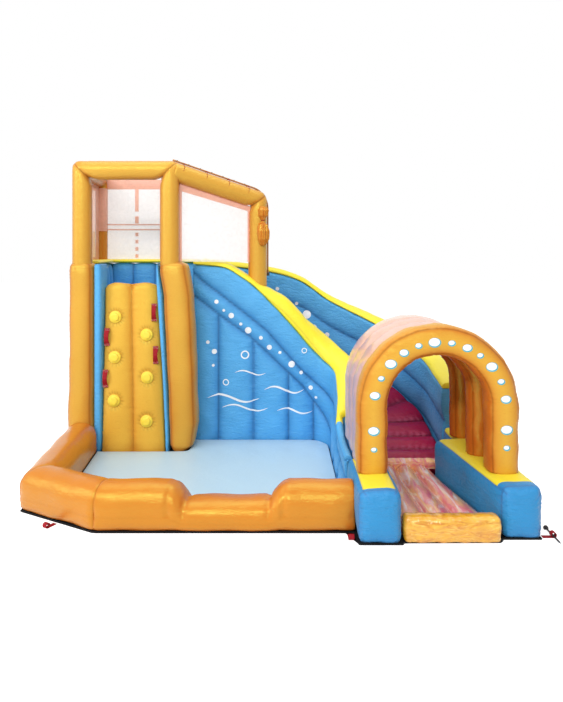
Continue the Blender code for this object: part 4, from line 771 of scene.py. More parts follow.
def cloth_object(name, skins, finishes):
    """One mesh object from skins, welded where they meet, with cloth coordinates, seams and the painted
    shade beside them.
    """
    points, faces, lies, dark, rim, paint = [], [], [], [], [], []
    for skin in skins:
        rows, columns = skin.u.shape
        wide = columns - 1 if skin.wraps else columns
        first = len(points)
        points += (skin.grid[:, :wide].reshape(-1, 3) + (PARK_X, PARK_Y, 0)).tolist()
        dark += skin.dark[:, :wide].ravel().tolist()
        rim += skin.rim[:, :wide].ravel().tolist()
        i, j = (part.ravel() for part in np.indices((rows - 1, columns - 1)))
        corners = [(i, j), (i, j + 1), (i + 1, j + 1), (i + 1, j)]
        skin.facing()
        if skin.outwards < 0:
            corners = corners[::-1]
        faces += np.stack([first + a * wide + b % wide for a, b in corners], axis=1).tolist()
        lie = [(skin.u[corner], skin.v[corner]) for corner in corners]
        lies.append(np.moveaxis(np.array(lie), 2, 0).reshape(-1, 2))
        paint += skin.paint.ravel().tolist()
        if skin.wraps and not skin.hollow:
            last = first + (rows - 1) * wide
            for end in (range(first, first + wide), range(last, last + wide)):
                faces.append(list(end))
                lies.append(np.zeros((wide, 2)))
                paint.append(0)
    mesh = bpy.data.meshes.new(name)
    mesh.from_pydata(points, [], faces)
    layer = mesh.uv_layers.new(name="cloth")
    layer.data.foreach_set("uv", np.concatenate(lies).ravel())
    # seam: dark seam lines, partly painted crease shade; rim: painted shade beside the seams.
    for title, values in (("seam", dark), ("rim", rim)):
        mesh.attributes.new(title, "FLOAT", "POINT").data.foreach_set("value", values)
    for title in finishes:
        mesh.materials.append(finish(title))
    mesh.polygons.foreach_set("material_index", paint)
    mesh.shade_smooth()
    mesh.update()
    made = shown(name, mesh)
    return welded(made) if skins[0].wraps else made


def welded(obj):
    """Merges the points that neighbouring grids share and turns the faces outwards."""
    made = bmesh.new()
    made.from_mesh(obj.data)
    bmesh.ops.remove_doubles(made, verts=made.verts, dist=0.0002)
    holes = [edge for edge in made.edges if edge.is_boundary]
    if holes:
        bmesh.ops.holes_fill(made, edges=holes, sides=0)
    bmesh.ops.recalc_face_normals(made, faces=made.faces)
    made.to_mesh(obj.data)
    made.free()
    obj.data.shade_smooth()
    return obj


def sewn(node, ending, skins, *finishes, fill=None, body="park"):
    """A node's cloth from its skins, with the node's name and an ending, seated for it."""
    made = cloth_object(node + ending, skins, finishes)
    return seat(made, [node], fill, body)


def placed(point, outline, side, up=UP):
    """An outline's (side, up) points in space."""
    return point + outline[:, :1] * side + outline[:, 1:] * up


def leg(start, end, cut_start, cut_end, outline, side):
    """A straight wrapped grid from start to end, its ends lying in two cutting planes.
    outline gives (side, up) points and up is square to side and to the run."""
    along, length = unit(end - start), norm(end - start)
    offset = placed(0, outline, side, np.cross(side, along))
    first = -(offset @ cut_start) / (along @ cut_start)
    last = length - (offset @ cut_end) / (along @ cut_end)
    rows = max(4, round(length / park_sizes().grid_step))
    reach = first + (last - first) * np.linspace(0, 1, rows + 1)[:, None]
    return start + offset + reach[..., None] * along


def mitre(back, here, ahead):
    """The plane's normal that halves a bend."""
    return unit(unit(here - back) + unit(ahead - here))


def framed(corners, outline, side):
    """A tube along straight runs with sewn mitres, as skins that share their mitred rings."""
    corners = [np.array(corner) for corner in corners]
    skins = []
    for k, (start, end) in enumerate(zip(corners, corners[1:])):
        more = k + 2 < len(corners)
        cut_start = mitre(corners[k - 1], start, end) if k else unit(end - start)
        cut_end = mitre(start, end, corners[k + 2]) if more else unit(end - start)
        skin = Skin(leg(start, end, cut_start, cut_end, outline, side))
        total = skin.u[-1:]
        pull = np.zeros(skin.u.shape)
        toward = np.zeros(skin.grid.shape)
        for corner, row, gap, sharp in ((start, 0, skin.u, k), (end, -1, total - skin.u, more)):
            if sharp:
                ripple = folds(skin.v, 0.7) * np.exp(-gap / 0.06) * (1 - np.exp(-gap / 0.012))
                tip = norm(skin.grid[row] - corner, axis=1)
                tip = (tip - tip.min()) * np.exp(-(gap / 0.03) ** 2)
                pull += 0.013 * np.exp(-gap / 0.025) + 0.0045 * ripple + 0.55 * tip
                toward += unit(corner - skin.grid) * np.exp(-gap / 0.03)[..., None]
                # A dark mitre seam with painted shade beside it.
                skin.mark(gap, 1.0, 0.007, 0.8, 0.02)
        blend = np.clip(norm(toward, axis=2, keepdims=True), 0, 1)
        way = unit(toward - skin.facing() * (1 - blend))
        at_ring = (np.minimum(skin.u, total - skin.u) < 1e-6)[..., None]
        way = np.where(at_ring & (blend > 0.5), toward, way)
        skin.grid = skin.grid + way * pull[..., None]
        dent = np.zeros(skin.u.shape)
        # Painted shade: the lengthwise seams run down both sides of the tube, and the shade painted beside
        # them darkens its sides and leaves its middle lighter.
        for n, share in enumerate((0.25, 0.75)):
            near, far = skin.seam(share)
            dent += 0.004 * np.exp(-near / 0.02)
            dent += 0.0016 * folds(far * 1.6, n + 2.0 * k) * np.exp(-near / 0.03)
            skin.mark(near, 0.5, 0.005, 0.95, 0.04)
        skin.dent(dent * np.clip(np.minimum(skin.u, total - skin.u) / 0.04, 0, 1))
        skin.hollow = True
        skins.append(skin)
    skins[0].close_ends(0.002, None)
    skins[-1].close_ends(None, 0.002)
    return skins


def route_stations(points):
    """(point, left-hand side, distance) along a flat route."""
    out, far = [], 0.0
    for i, point in enumerate(points):
        ahead = (points[min(i + 1, len(points) - 1)] - points[max(i - 1, 0)]).normalized()
        if i:
            far += (point - points[i - 1]).length
        out.append((np.array(point), np.array((-ahead.y, ahead.x, 0)), far))
    return out


def swept(route, section):
    """A wrapped grid along a flat route, section(s) giving closed (across, up) points."""
    return Skin([placed(point, section(s), side) for point, side, s in route_stations(route)])


def banded(points, side, section):
    """A wrapped grid along points in a plane square to side, section being one closed
    outline of (side, up) points."""
    points, side = np.array(points, float), np.array(side, float)
    ahead = unit(np.concatenate([points[1:2] - points[:1], points[2:] - points[:-2],
                                 points[-1:] - points[-2:-1]]))
    return Skin([placed(point, section, side, np.cross(side, way))
                 for point, way in zip(points, ahead)])


def at_height(flat, z):
    """Flat (x, y) points at one height."""
    return np.column_stack([flat, np.full(len(flat), z)])


# Pool

def pool_height(x):
    """The pool wall's height, lower across its entry."""
    into, out_of = x - ENTRY_START + ENTRY_RAMP, ENTRY_END + ENTRY_RAMP - x
    low = min(max(min(into, out_of) / ENTRY_RAMP, 0), 1)
    return POOL_WALL_HEIGHT - (POOL_WALL_HEIGHT - ENTRY_HEIGHT) * low


def pool_wall(name, start, end, cut_start, cut_end, ramps=()):
    """A fat pool wall between two mitres, with its sewn ends gathered."""
    start, end = np.array((*start, 0.0)), np.array((*end, 0.0))
    along, length = unit(end - start), norm(end - start)
    side = np.array((-along[1], along[0], 0))
    rows = round(length / park_sizes().grid_step)
    grid = []
    for t in np.linspace(0, 1, rows + 1):
        height = pool_height(start[0] + along[0] * t * length)
        outline = plump(POOL_WALL_WIDTH, height, 2.3, 64, foot=7) + (0, FLOOR)
        slant = (cut_start * (1 - t) + cut_end * t) * outline[:, :1]
        grid.append(placed(start + along * (length * t + slant), outline, side))
    skin = Skin(grid)
    skin.quilt((0, -1), 0.06, 0.005, 0.003, 0.2)
    high = skin.grid[..., 2] > FLOOR + 0.1
    for at in ramps:
        near, around = skin.seam(int(round(rows * (at - start[0]) / length)))
        pinch = 0.012 * np.exp(-(near / 0.02) ** 2)
        pinch += 0.003 * folds(around * 0.8, 1.0) * np.exp(-near / 0.05)
        skin.dent(pinch * high)
    skin.quilt((0.22, 0.78), 0.05, 0.001, 0.002, 0.1)
    skin.waves(0.004, 0.34, len(name))
    skin.close_ends(0.004, 0.004)
    sewn(name, "_pad", [skin], "cloth_orange", fill=0.95)


def make_pool():
    def lean(a, b, c):
        before, after = Vector(b) - Vector(a), Vector(c) - Vector(b)
        return tan(before.angle_signed(after) / 2)

    back, left, front = POOL_PLAN
    front_right = (0.616, POOL_FRONT_Y)
    turn_left = lean(back, left, front)
    turn_front = lean(left, front, front_right)
    pool_wall("pool_wall_left", back, left, 0, turn_left)
    pool_wall("pool_wall_corner", left, front, -turn_left, turn_front)
    ramps = (ENTRY_START - ENTRY_RAMP, ENTRY_START, ENTRY_END, ENTRY_END + ENTRY_RAMP)
    pool_wall("pool_wall_front", front, front_right, -turn_front, 0, ramps)

    low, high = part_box("pool_floor")
    right, back = INNER_FACE[0] - 0.001, INNER_FACE[1] - 0.001
    outline = shifted([*POOL_PLAN, (right, POOL_FRONT_Y)], POOL_WALL_WIDTH / 2 + 0.001)
    outline[0] = (outline[0][0], TOWER_FRONT_Y - 0.004)
    for angle in np.linspace(0, pi / 2, 9):
        outline.append((right - INNER_BEND * (1 - cos(angle)), back - INNER_BEND * (1 - sin(angle))))
    outline += [(-0.68, back), (-0.68, TOWER_FRONT_Y + 0.02), (-0.70, TOWER_FRONT_Y - 0.004)]
    rim = spread(outline, 240)
    centre = np.array((-0.35, -0.45))
    top = high.z - 0.0012
    rows = [at_height(rim, low.z + 0.001), at_height(rim, top)]
    for share in np.linspace(0.995, 0.02, 60):
        flat = centre + (rim - centre) * share
        swell = 0.0011 * np.sin(flat[:, 0] * 17 + 2 * np.sin(flat[:, 1] * 9)) * (share < 0.99)
        rows.append(at_height(flat, top + swell))
    sewn("pool_floor", "_pad", [Skin(rows)], "cloth_pool", fill=0.2)
    make_base_sheet()


def make_base_sheet():
    """The black sheet under the park, with its taped edge showing round the foot."""
    outer = LANE_WIDTH / 2 + OUTER_CLEAR + OUTER_THICK + 0.006
    bend = LANE_BEND + outer
    outline = shifted([*POOL_PLAN, (0.612, POOL_FRONT_Y)], 0.004 - POOL_WALL_WIDTH / 2)
    outline += [(0.618, -1.694), (0.9, -1.694), (0.905, -1.67), (1.51, -1.665), (1.53, -1.624),
                (1.783, -1.624), (1.755, -0.66), (1.742, -0.3)]
    for angle in np.linspace(0, pi / 2, 17):
        outline.append((LANE_RIGHT_X - LANE_BEND + bend * cos(angle),
                        LANE_BACK_Y - LANE_BEND + bend * sin(angle)))
    outline.append((-1.97, LANE_BACK_Y + outer))
    rim = spread(outline, 420)
    low = at_height(rim, 0.0018)
    centre = np.array((-0.1, -0.1, 0.0018))
    rows = [low, low + (0, 0, 0.001)]
    rows += [centre + (low - centre) * share + (0, 0, 0.0012) for share in np.linspace(0.99, 0.01, 24)]
    sheet = cloth_object("base_sheet", [Skin(rows)], ["cloth_black"])
    seat(sheet, ["ground_sheet"])
    width = park_sizes().tape_width
    inward = rim[:-1] - (rim[:-1] - centre[:2]) * 0.004
    edge = [(x + PARK_X, y + PARK_Y, width * 0.55) for x, y in inward]
    tape = taped("base_tape", [edge], 0.004, width, "cloth_black", close=True)
    seat(tape)


# Tower

def column(name, levels):
    """A fat upright column whose crown rounds over, sewn down its corners."""
    heights = np.linspace(0, COLUMN_TOP - FLOOR - 0.001, 124)
    crown, foot = 0.065, 0.035
    deep = TOWER_BACK_Y - TOWER_FRONT_Y
    rows = []
    for height in heights:
        left, right, inset = (between(levels, height, k) for k in (1, 2, 3))
        over = max(0.0, (height - heights[-1] + crown) / crown)
        under = max(0.0, (foot - height) / foot)
        inset += crown * (1 - sqrt(1 - min(over, 1) ** 2)) * 0.75
        inset += foot * (1 - sqrt(1 - min(under, 1) ** 2)) * 0.6
        outline = plump(right - left - 2 * inset, deep - 2 * inset, 3.6, 60)
        rows.append(at_height(outline + ((left + right) / 2, TOWER_FRONT_Y + inset), FLOOR + height))
    skin = Skin(rows)
    # Painted shade: the wide shade beside the corner seams darkens the column's sides.
    skin.quilt((0.12, 0.38, 0.62, 0.88), 0.1, 0.007, 0.0022, 0.7)
    skin.quilt((3, -5), 0.06, 0.004, 0.0025, 0.15)
    skin.waves(0.004, 0.42, len(name))
    skin.close_ends(0.002, 0.001)
    # Painted light: the columns take the lit copy of the orange cloth.
    sewn(name, "_pad", [skin], "cloth_amber", fill=0.95)


def strip(name, edges):
    """An upright padded strip between two edges that change with height."""
    front = 0.006
    rows = []
    for height in np.linspace(0, 1.69, 110):
        low, high = edges(height)
        outline = plump(high - low, TOWER_BACK_Y - front, 5, 40)
        rows.append(at_height(outline + ((low + high) / 2, front), FLOOR + height))
    skin = Skin(rows)
    skin.quilt((0, -1), 0.07, 0.003, 0.0015, 0.3)
    skin.close_ends(0.001, 0.001)
    sewn(name, "_pad", [skin], "cloth_blue", fill=0.7)


def pad_wall(name, start, end):
    """An upright padded wall along a flat run, sewn into upright chambers."""
    stride = 0.014
    thick = TOWER_WALL_THICK
    outline = plump(thick, TOWER_WALL_TOP - FLOOR, 7, 150) + (thick / 2, FLOOR)
    skin = swept(flat_route([start, end], stride), lambda s: outline)
    across = [seam_line([(0, at), (FAR, at)], skin.u, skin.v)
              for at in (TOWER_WALL_TOP - 0.14, TOWER_WALL_TOP + thick + 0.32)]
    skin.quilt([*range(0, len(skin.u), round(0.24 / stride)), -1], 0.1, 0.014, 0.003, 0.7)
    skin.quilt(across, 0.08, 0.01, 0.003, 0.7)
    skin.close_ends(0.0, 0.0)
    sewn(name, "_pad", [skin], "cloth_blue", fill=0.9)


def make_tower():
    def right_edges(height):
        climb_right = climb_width(min(height, CLIMB_TOP))[1]
        return climb_right + 0.008, between(COLUMN_RIGHT_LEVELS, height) - 0.008

    column("tower_column_left", COLUMN_LEFT_LEVELS)
    column("tower_column_right", COLUMN_RIGHT_LEVELS)
    strip("lining_left", lambda height: (-1.537, -1.475))
    strip("lining_right", right_edges)

    front, rear = TOWER_BACK_Y + 0.05, REAR_WALL_Y - 0.005
    rim = spread([(-1.553, front), (DECK_EDGE_X, front), (DECK_EDGE_X, rear), (-1.675, rear)], 200)
    centre = np.array((-1.15, 0.74))
    low, high = DECK_TOP - DECK_THICK, DECK_TOP
    rows = [(0.02 + 0.95 * k / 19, low + 0.001) for k in range(20)]
    rows += [(0.985, low + 0.004), (0.995, low + 0.02)]
    rows += [(0.999, low + DECK_THICK * k / 8) for k in range(1, 8)]
    rows += [(0.995, high - 0.016), (0.985, high - 0.005)]
    rows += [(0.97 - 0.95 * k / 39, high - 0.001) for k in range(40)]
    skin = Skin([at_height(centre + (rim - centre) * share, z) for share, z in rows])
    ribs = 1 - np.abs(np.sin(pi * (skin.grid[..., 0] + 1.7) / 0.24)) ** 0.5
    skin.grid[..., 2] -= 0.006 * ribs * (skin.grid[..., 2] > high - 0.004)
    sewn("deck", "_pad", [skin], "cloth_blue", fill=0.95)

    lean = atan2(0.122, REAR_WALL_Y - TOWER_BACK_Y)
    start_y = TOWER_BACK_Y + TOWER_WALL_THICK * sin(lean) + 0.005
    pad_wall("tower_wall_left", (-1.558, start_y), (-1.68, rear))
    pad_wall("tower_wall_back", (-1.95, REAR_WALL_Y), (DECK_EDGE_X - 0.005, REAR_WALL_Y))

    cap = plump(TOWER_WALL_THICK + 0.014, CAP_THICK, 2.4, 40)
    cap += (TOWER_WALL_THICK / 2, TOWER_WALL_TOP + CAP_LIFT)
    skins = []
    for run in (((-1.558, TOWER_BACK_Y + 0.006), (-1.68, REAR_WALL_Y - 0.015)),
                ((-1.957, REAR_WALL_Y), (DECK_EDGE_X - 0.006, REAR_WALL_Y))):
        skin = swept(flat_route(run, 0.014), lambda s: cap)
        skin.quilt((0, -1), 0.04, 0.003, 0.001)
        skin.close_ends(0.001, 0.001)
        skins.append(skin)
    sewn("tower_cap", "_pad", skins, "cloth_yellow", fill=0.8)


# Climbing wall

def climb_width(height):
    return CLIMB_LEFT_X, levelled(CLIMB_RIGHT_EDGE, height)


def climb_plane(height):
    """How far back the climbing wall's leaning front lies."""
    return TOWER_FRONT_Y + 0.01 + CLIMB_LEAN * height / CLIMB_TOP


def climb_valley(across):
    """Nothing on the two lobes' ridges, one at the seam between them and at the edges."""
    return 1 - abs(sin(tau * across)) ** 0.6


def climb_front(x, height):
    """The climbing wall's front, two lobes beside a sewn seam."""
    left, right = climb_width(height)
    across = min(max((x - left) / (right - left), 0), 1)
    return climb_plane(height) + CLIMB_LOBE * climb_valley(across)


def make_climbing_wall():
    rounding = 0.05
    levels = [(height, 0.0) for height in np.linspace(0, CLIMB_TOP - rounding, 112)]
    for over in np.linspace(0, pi / 2, 9)[1:]:
        levels.append((CLIMB_TOP - rounding * (1 - sin(over)), rounding * (1 - cos(over))))
    rows = []
    for height, pull in levels:
        left, right = climb_width(height)
        back = climb_plane(height) + CLIMB_THICK - pull
        ring = []
        for across in np.linspace(0, 1, 47):
            x = left + (right - left) * across
            y = min(climb_front(x, height) + pull, back - 0.004)
            ring.append((x, y, FLOOR + height * (1 - 0.027 * climb_valley(across))))
        first, last = ring[0][2], ring[-1][2]
        ring += [(right - 0.001, back - 0.02, last), (right - 0.012, back, last)]
        ring += [(right + (left - right) * k / 10, back, FLOOR + height * 0.985) for k in range(1, 10)]
        ring += [(left + 0.012, back, first), (left + 0.001, back - 0.02, first), ring[0]]
        rows.append(ring)
    skin = Skin(rows)
    x, y, z = np.moveaxis(skin.grid, 2, 0)
    front = y < climb_plane(z) + 0.08
    gap = np.abs(x - (CLIMB_LEFT_X + between(CLIMB_RIGHT_EDGE, z)) / 2)
    dent = 0.004 * folds(z, 0.5) * np.exp(-gap / 0.045) * (1 - np.exp(-gap / 0.008))
    dent += 0.0022 * folds(z * 1.4, 2.5) * np.exp(-np.abs(x - CLIMB_LEFT_X) / 0.03)
    # The middle seam's dark line, with painted shade beside it in the valley between the lobes.
    skin.mark(gap, 0.55 * front, 0.006, 0.5 * front, 0.03)
    for hold_x, hold_z in HOLD_SPOTS:
        across, up = x - hold_x, z - hold_z - FLOOR
        away, angle = np.hypot(across, up), np.arctan2(up, across)
        rays = 0.5 + 0.5 * np.cos(angle * 17 + 1.3 * np.sin(angle * 3 + hold_x * 40))
        dent += 0.006 * rays * np.exp(-((away - 0.062) / 0.022) ** 2) * (away > 0.05)
        dent += 0.006 * np.exp(-((away - 0.056) / 0.014) ** 2)
        # Painted shade in the puckers round each hold.
        skin.mark(away - 0.07, 0.6 * front * rays, 0.018)
    skin.dent(dent * front)
    skin.close_ends(0.0, 0.004)
    # Painted light: the climbing wall takes the lightest, lit copy of the orange cloth.
    sewn("climbing_wall", "_pad", [skin], "cloth_golden", fill=0.9)
    for k, spot in enumerate(HOLD_SPOTS):
        make_hold(k, *spot)
    stitches = [line for k, x in enumerate(HANDLE_XS) for line in make_handle(k, x)]
    step = park_sizes().stitch_length
    threads = beaded("handle_stitches", stitches, step, step * 0.7, 0.0012, 0.0012, "thread_light")
    seat(threads)


HOLD_PROFILE = (
    (0.0, 0.0), (0.05, 0.0), (0.0555, 0.003), (0.056, 0.008), (0.052, 0.014), (0.044, 0.0165),
    (0.0385, 0.0155), (0.037, 0.0175), (0.037, 0.024), (0.034, 0.029), (0.026, 0.0315),
    (0.014, 0.0325), (0.001, 0.0328),
)


def make_hold(k, x, z):
    """A round padded hold: a wide disc, a smaller raised one, and puckers round both."""
    base = climb_front(x, z) + 0.004
    angles = np.linspace(0, tau, 55)
    rays = np.cos(angles * 18 + 0.8 * np.sin(angles * 3 + k))
    rows = []
    for radius, out in spread(HOLD_PROFILE, 40, closed=False):
        wrinkle = 0.0011 * exp(-((radius - 0.05) / 0.008) ** 2)
        wrinkle += 0.0008 * exp(-((radius - 0.037) / 0.004) ** 2)
        reach = max(radius, 0.0006) + rays * wrinkle
        rows.append(np.column_stack([x + reach * np.cos(angles), np.full(55, base - out),
                                     FLOOR + z + reach * np.sin(angles)]))
    sewn(f"hold_{k + 1}", "_pad", [Skin(rows)], "cloth_hold", fill=0.8)


def make_handle(k, x):
    """A bowed webbing handle, narrower at half its height, sewn flat at both ends. Gives the
    lines of its stitches."""
    name = f"handle_{k + 1}"
    low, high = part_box(name)
    flat_y = high.y - PARK_Y - 0.004
    half = (high.x - low.x) / 2
    rows = []
    for t in np.linspace(0, 1, 41):
        rise = 0.028 * sin(pi * min(max((t - 0.12) / 0.76, 0), 1)) ** 0.8
        waist = half * (1 - 0.22 * sin(pi * t) ** 1.5)
        middle = (x, flat_y - rise - 0.0005 * sin(40 * t))
        rows.append(at_height(plump(2 * waist, 0.003, 6, 28) + middle, low.z + t * (high.z - low.z)))
    sewn(name, "_webbing", [Skin(rows)], "webbing_red")
    lines = []
    left, right = x - half * 0.88 + PARK_X, x + half * 0.88 + PARK_X
    for base, sign in ((low.z, 1), (high.z, -1)):
        near, far = base + sign * 0.005, base + sign * 0.019
        box = [(left, near), (right, near), (right, far), (left, far), (left, near), (right, far)]
        lines.append([(px, flat_y + PARK_Y - 0.0008, pz) for px, pz in box])
    return lines


# Frame tubes

def wing_foot():
    """The post's foot, just over the sloping cap of the inner wall."""
    s = WING_POST[0] - INNER_START_X
    return levelled(INNER_TOPS, s + 0.02) + CAP_LIFT + levelled(INNER_CAPS, s) - 0.02


def make_frame():
    foot = COLUMN_TOP - 0.03
    front = [(*POST_LEFT, foot), (*POST_LEFT, FRAME_TOP), (*POST_RIGHT, FRAME_TOP), (*POST_RIGHT, foot)]
    # Painted light: the front and wing frames take the lit copy of the orange cloth; the rear frames keep
    # the plain orange.
    skins = framed(front, circle(FRAME_RADIUS + 0.003), (0, 1, 0))
    sewn("front_frame", "_tube", skins, "cloth_amber", fill=1.0)
    rear_foot = TOWER_WALL_TOP + CAP_LIFT + CAP_THICK + 0.001
    for name, start, post, top, foot, more, cloth_finish in (
            ("left_frame", POST_LEFT, REAR_LEFT, REAR_TOP, rear_foot, 0.002, "cloth_orange"),
            ("right_frame", POST_RIGHT, REAR_RIGHT, REAR_TOP, rear_foot, 0.002, "cloth_orange"),
            ("wing_frame", POST_RIGHT, WING_POST, WING_TOP, wing_foot(), 0.005, "cloth_amber")):
        corners = np.array([(*start, FRAME_TOP), (*post, top), (*post, foot)])
        away = unit(corners[1] - corners[0])
        corners[0] += away * 0.03
        skins = framed(corners, circle(FRAME_RADIUS + more), unit(np.cross(away, UP)))
        sewn(name, "_tube", skins, cloth_finish, fill=1.0)


# Nets

def panel(corners, steps, bow, seed, part=(0, 1, 0, 1), off=0.0):
    """A bowed panel over a part (left, right, low, high, as shares) of the quad between
    four corners (low left, low right, high right, high left), held off it by a distance."""
    a, b, c, d = corners
    left, right, low, high = part
    t, s = np.indices((steps + 1, steps + 1))[..., None] / steps
    u, v = left + (right - left) * s, low + (high - low) * t
    spot = (a + (b - a) * u) * (1 - v) + (d + (c - d) * u) * v
    sway = np.sin(pi * t) * (np.sin(pi * s) + 0.35 * np.sin(9 * s + seed + 3 * t))
    return Skin(spot + unit(np.cross(b - a, UP)) * (off + bow * sway), wraps=False)


def hung(name, a, b, lows, highs, hems, straps=(), wrap=()):
    """A net between two posts, with hems on both of its sides, straps and a wrap."""
    start, end = np.array(a), np.array(b)
    along = unit(end - start) * NET_CLEAR
    start, end = start + along, end - along
    corners = np.array([(*start, lows[0]), (*end, lows[1]), (*end, highs[1]), (*start, highs[0])])
    width = float(norm(end - start))
    net_piece = sewn(name, "_mesh", [panel(corners, 48, 0.004, len(name))], "net_white")
    skins = [panel(corners, 30, 0.0015, part[0] * 5, part, off) for part in hems for off in (-0.002, 0.002)]
    skins += [panel(corners, 24, 0.0, 0, part, 0.008) for part in straps]
    hem = cloth_object(name + "_hem", [*skins, *wrap], ["hem_salmon"])
    seat(hem)


NET_CLEAR = FRAME_RADIUS - 0.006


def make_nets():
    foot = TOWER_WALL_TOP + CAP_LIFT + CAP_THICK + 0.003
    front_foot = COLUMN_TOP + 0.003
    back_hems = ((0, 1, 0.88, 1), (0.96, 1, 0, 0.88))
    bars = [(0, 0.96, 0.366, 0.381), (0, 0.96, 0.428, 0.443), (0.515, 0.58, 0.6, 0.88),
            (0.515, 0.58, 0.45, 0.54)]
    bars += [(0.52, 0.575, 0.02 + 0.09 * k, 0.065 + 0.09 * k) for k in range(4)]
    around = np.radians(np.linspace(-195, 15, 40))
    ring = np.column_stack([np.cos(around), np.sin(around)]) * (FRAME_RADIUS + 0.004) + REAR_LEFT
    wrap = Skin([at_height(ring, z) for z in np.linspace(2.03, REAR_TOP - 0.1, 50)], wraps=False)
    hung("net_back", REAR_LEFT, REAR_RIGHT, (foot, foot), (REAR_TOP, REAR_TOP), back_hems, bars, [wrap])
    side_hems = ((0, 0.1, 0, 1), (0.75, 1, 0, 1), (0.1, 0.75, 0.92, 1), (0.1, 0.75, 0, 0.04))
    highs = (FRAME_TOP - NET_CLEAR, REAR_TOP - NET_CLEAR)
    hung("net_left", POST_LEFT, REAR_LEFT, (front_foot, foot), highs, side_hems)
    fall = (FRAME_TOP - WING_TOP) / dist(WING_POST, POST_RIGHT)
    drop = NET_CLEAR * hypot(1, fall)
    cap_foot = INNER_TOPS[1][1] + CAP_LIFT + levelled(INNER_CAPS, INNER_TOPS[1][0]) + 0.002
    highs = (FRAME_TOP - NET_CLEAR * fall - drop, WING_TOP + NET_CLEAR * fall - drop)
    wing_hems = ((0, 0.045, 0, 1), (0.045, 1, 0.9, 1), (0.965, 1, 0, 0.9))
    hung("net_wing", POST_RIGHT, WING_POST, (front_foot, cap_foot), highs, wing_hems)


# Slide

def past_bend(s):
    """How far the inner wall is round its bend, and how far it is beside the left bolster."""
    straight = INNER_FACE[0] - INNER_START_X - INNER_BEND
    corner = straight + INNER_BEND * pi / 2
    bolster = corner + INNER_FACE[1] - INNER_BEND + 0.3
    return eased((s - straight) / (corner - straight)), eased((s - bolster + 0.1) / 0.07)


def inner_thick(s):
    """The inner wall fills the space beside the bend, and thins beside the left bolster."""
    wider, thinner = past_bend(s)
    side = 0.25 + 0.05 * wider
    return side + (0.085 - side) * thinner


def inner_lean(s):
    """Past its bend the inner wall's face to the pool leans away from it."""
    return 0.06 * past_bend(s)[0] * (1 - 0.55 * eased((s - LEAN_FADE) / 0.3))


def wall_outline(top, thick, count):
    """A slide wall's section from its foot up the near face, over the top and down."""
    rounding = min(0.03, 0.3 * thick)
    near = [(0.0, FLOOR + (top - FLOOR) * k / 60) for k in range(61)]
    near = [(a, b) for a, b in near if b < top - rounding]
    for angle in np.linspace(0, pi / 2, 9):
        near.append((rounding * (1 - cos(angle)), top - rounding * (1 - sin(angle))))
    return spread(near + [(thick - a, b) for a, b in near[::-1]], count)


INNER_SEAMS = (
    ((0, 1.61), (0.08, 1.53), (0.27, 1.39), (0.49, 1.22), (0.7, 1.05), (0.84, 0.89), (0.99, 0.72),
     (1.11, 0.6), (1.3, 0.43), (1.5, 0.32), (1.9, 0.17), (2.6, 0.16)),
    ((0, 1.39), (0.1, 1.32), (0.28, 1.18), (0.55, 0.99), (0.7, 0.85), (0.9, 0.66), (1.03, 0.54),
     (1.15, 0.37), (1.28, 0.2), (1.42, 0.03)),
    ((0.24, 0.0), (0.24, 1.21)), ((0.57, 0.0), (0.57, 0.97)), ((0.9, 0.0), (0.9, 0.66)),
    ((1.13, 0.0), (1.13, 0.4)), ((1.75, 0.0), (1.75, 0.22)), ((2.1, 0.0), (2.1, 0.16)),
)


def wall_skin(route, tops, thick, seams, columns, reach, depth, lean=lambda s: 0.0):
    """A slide wall whose near face has the given (distance, height) seams, and whose far
    face has two long tubes over upright chambers."""
    stations = route_stations(route)
    rows, height, across = [], [], []
    for point, side, s in stations:
        top = levelled(tops, s)
        outline = wall_outline(top, thick(s), columns)
        near = outline[:, 0] < thick(s) / 2
        outline[:, 0] += near * lean(s) * outline[:, 1] / top
        rows.append(placed(point, outline, side))
        height.append(outline[:, 1])
        across.append(outline[:, 0] / thick(s))
    skin = Skin(rows)
    height, near_face = np.array(height), np.array(across) < 0.5
    along = np.array([[s] for _, _, s in stations]) + 0 * height
    below = height - np.array([[levelled(tops, s)] for _, _, s in stations])
    total = stations[-1][2]
    uprights = [(np.hypot(along - 0.26 * k, np.maximum(below + 0.5, 0)), height)
                for k in range(1, int(total / 0.26))]
    tubes = [(np.abs(below + drop), along) for drop in (0.25, 0.5)]
    made = [(np.where(near_face, near, FAR), run)
            for near, run in (seam_line(seam, along, height) for seam in seams)]
    made += [(np.where(near_face, FAR, near), run) for near, run in uprights + tubes]
    # The seams carry painted shade along and beside their creases.
    skin.quilt(made, reach, depth, park_sizes().gather)
    skin.waves(0.004, 0.27, total)
    return skin


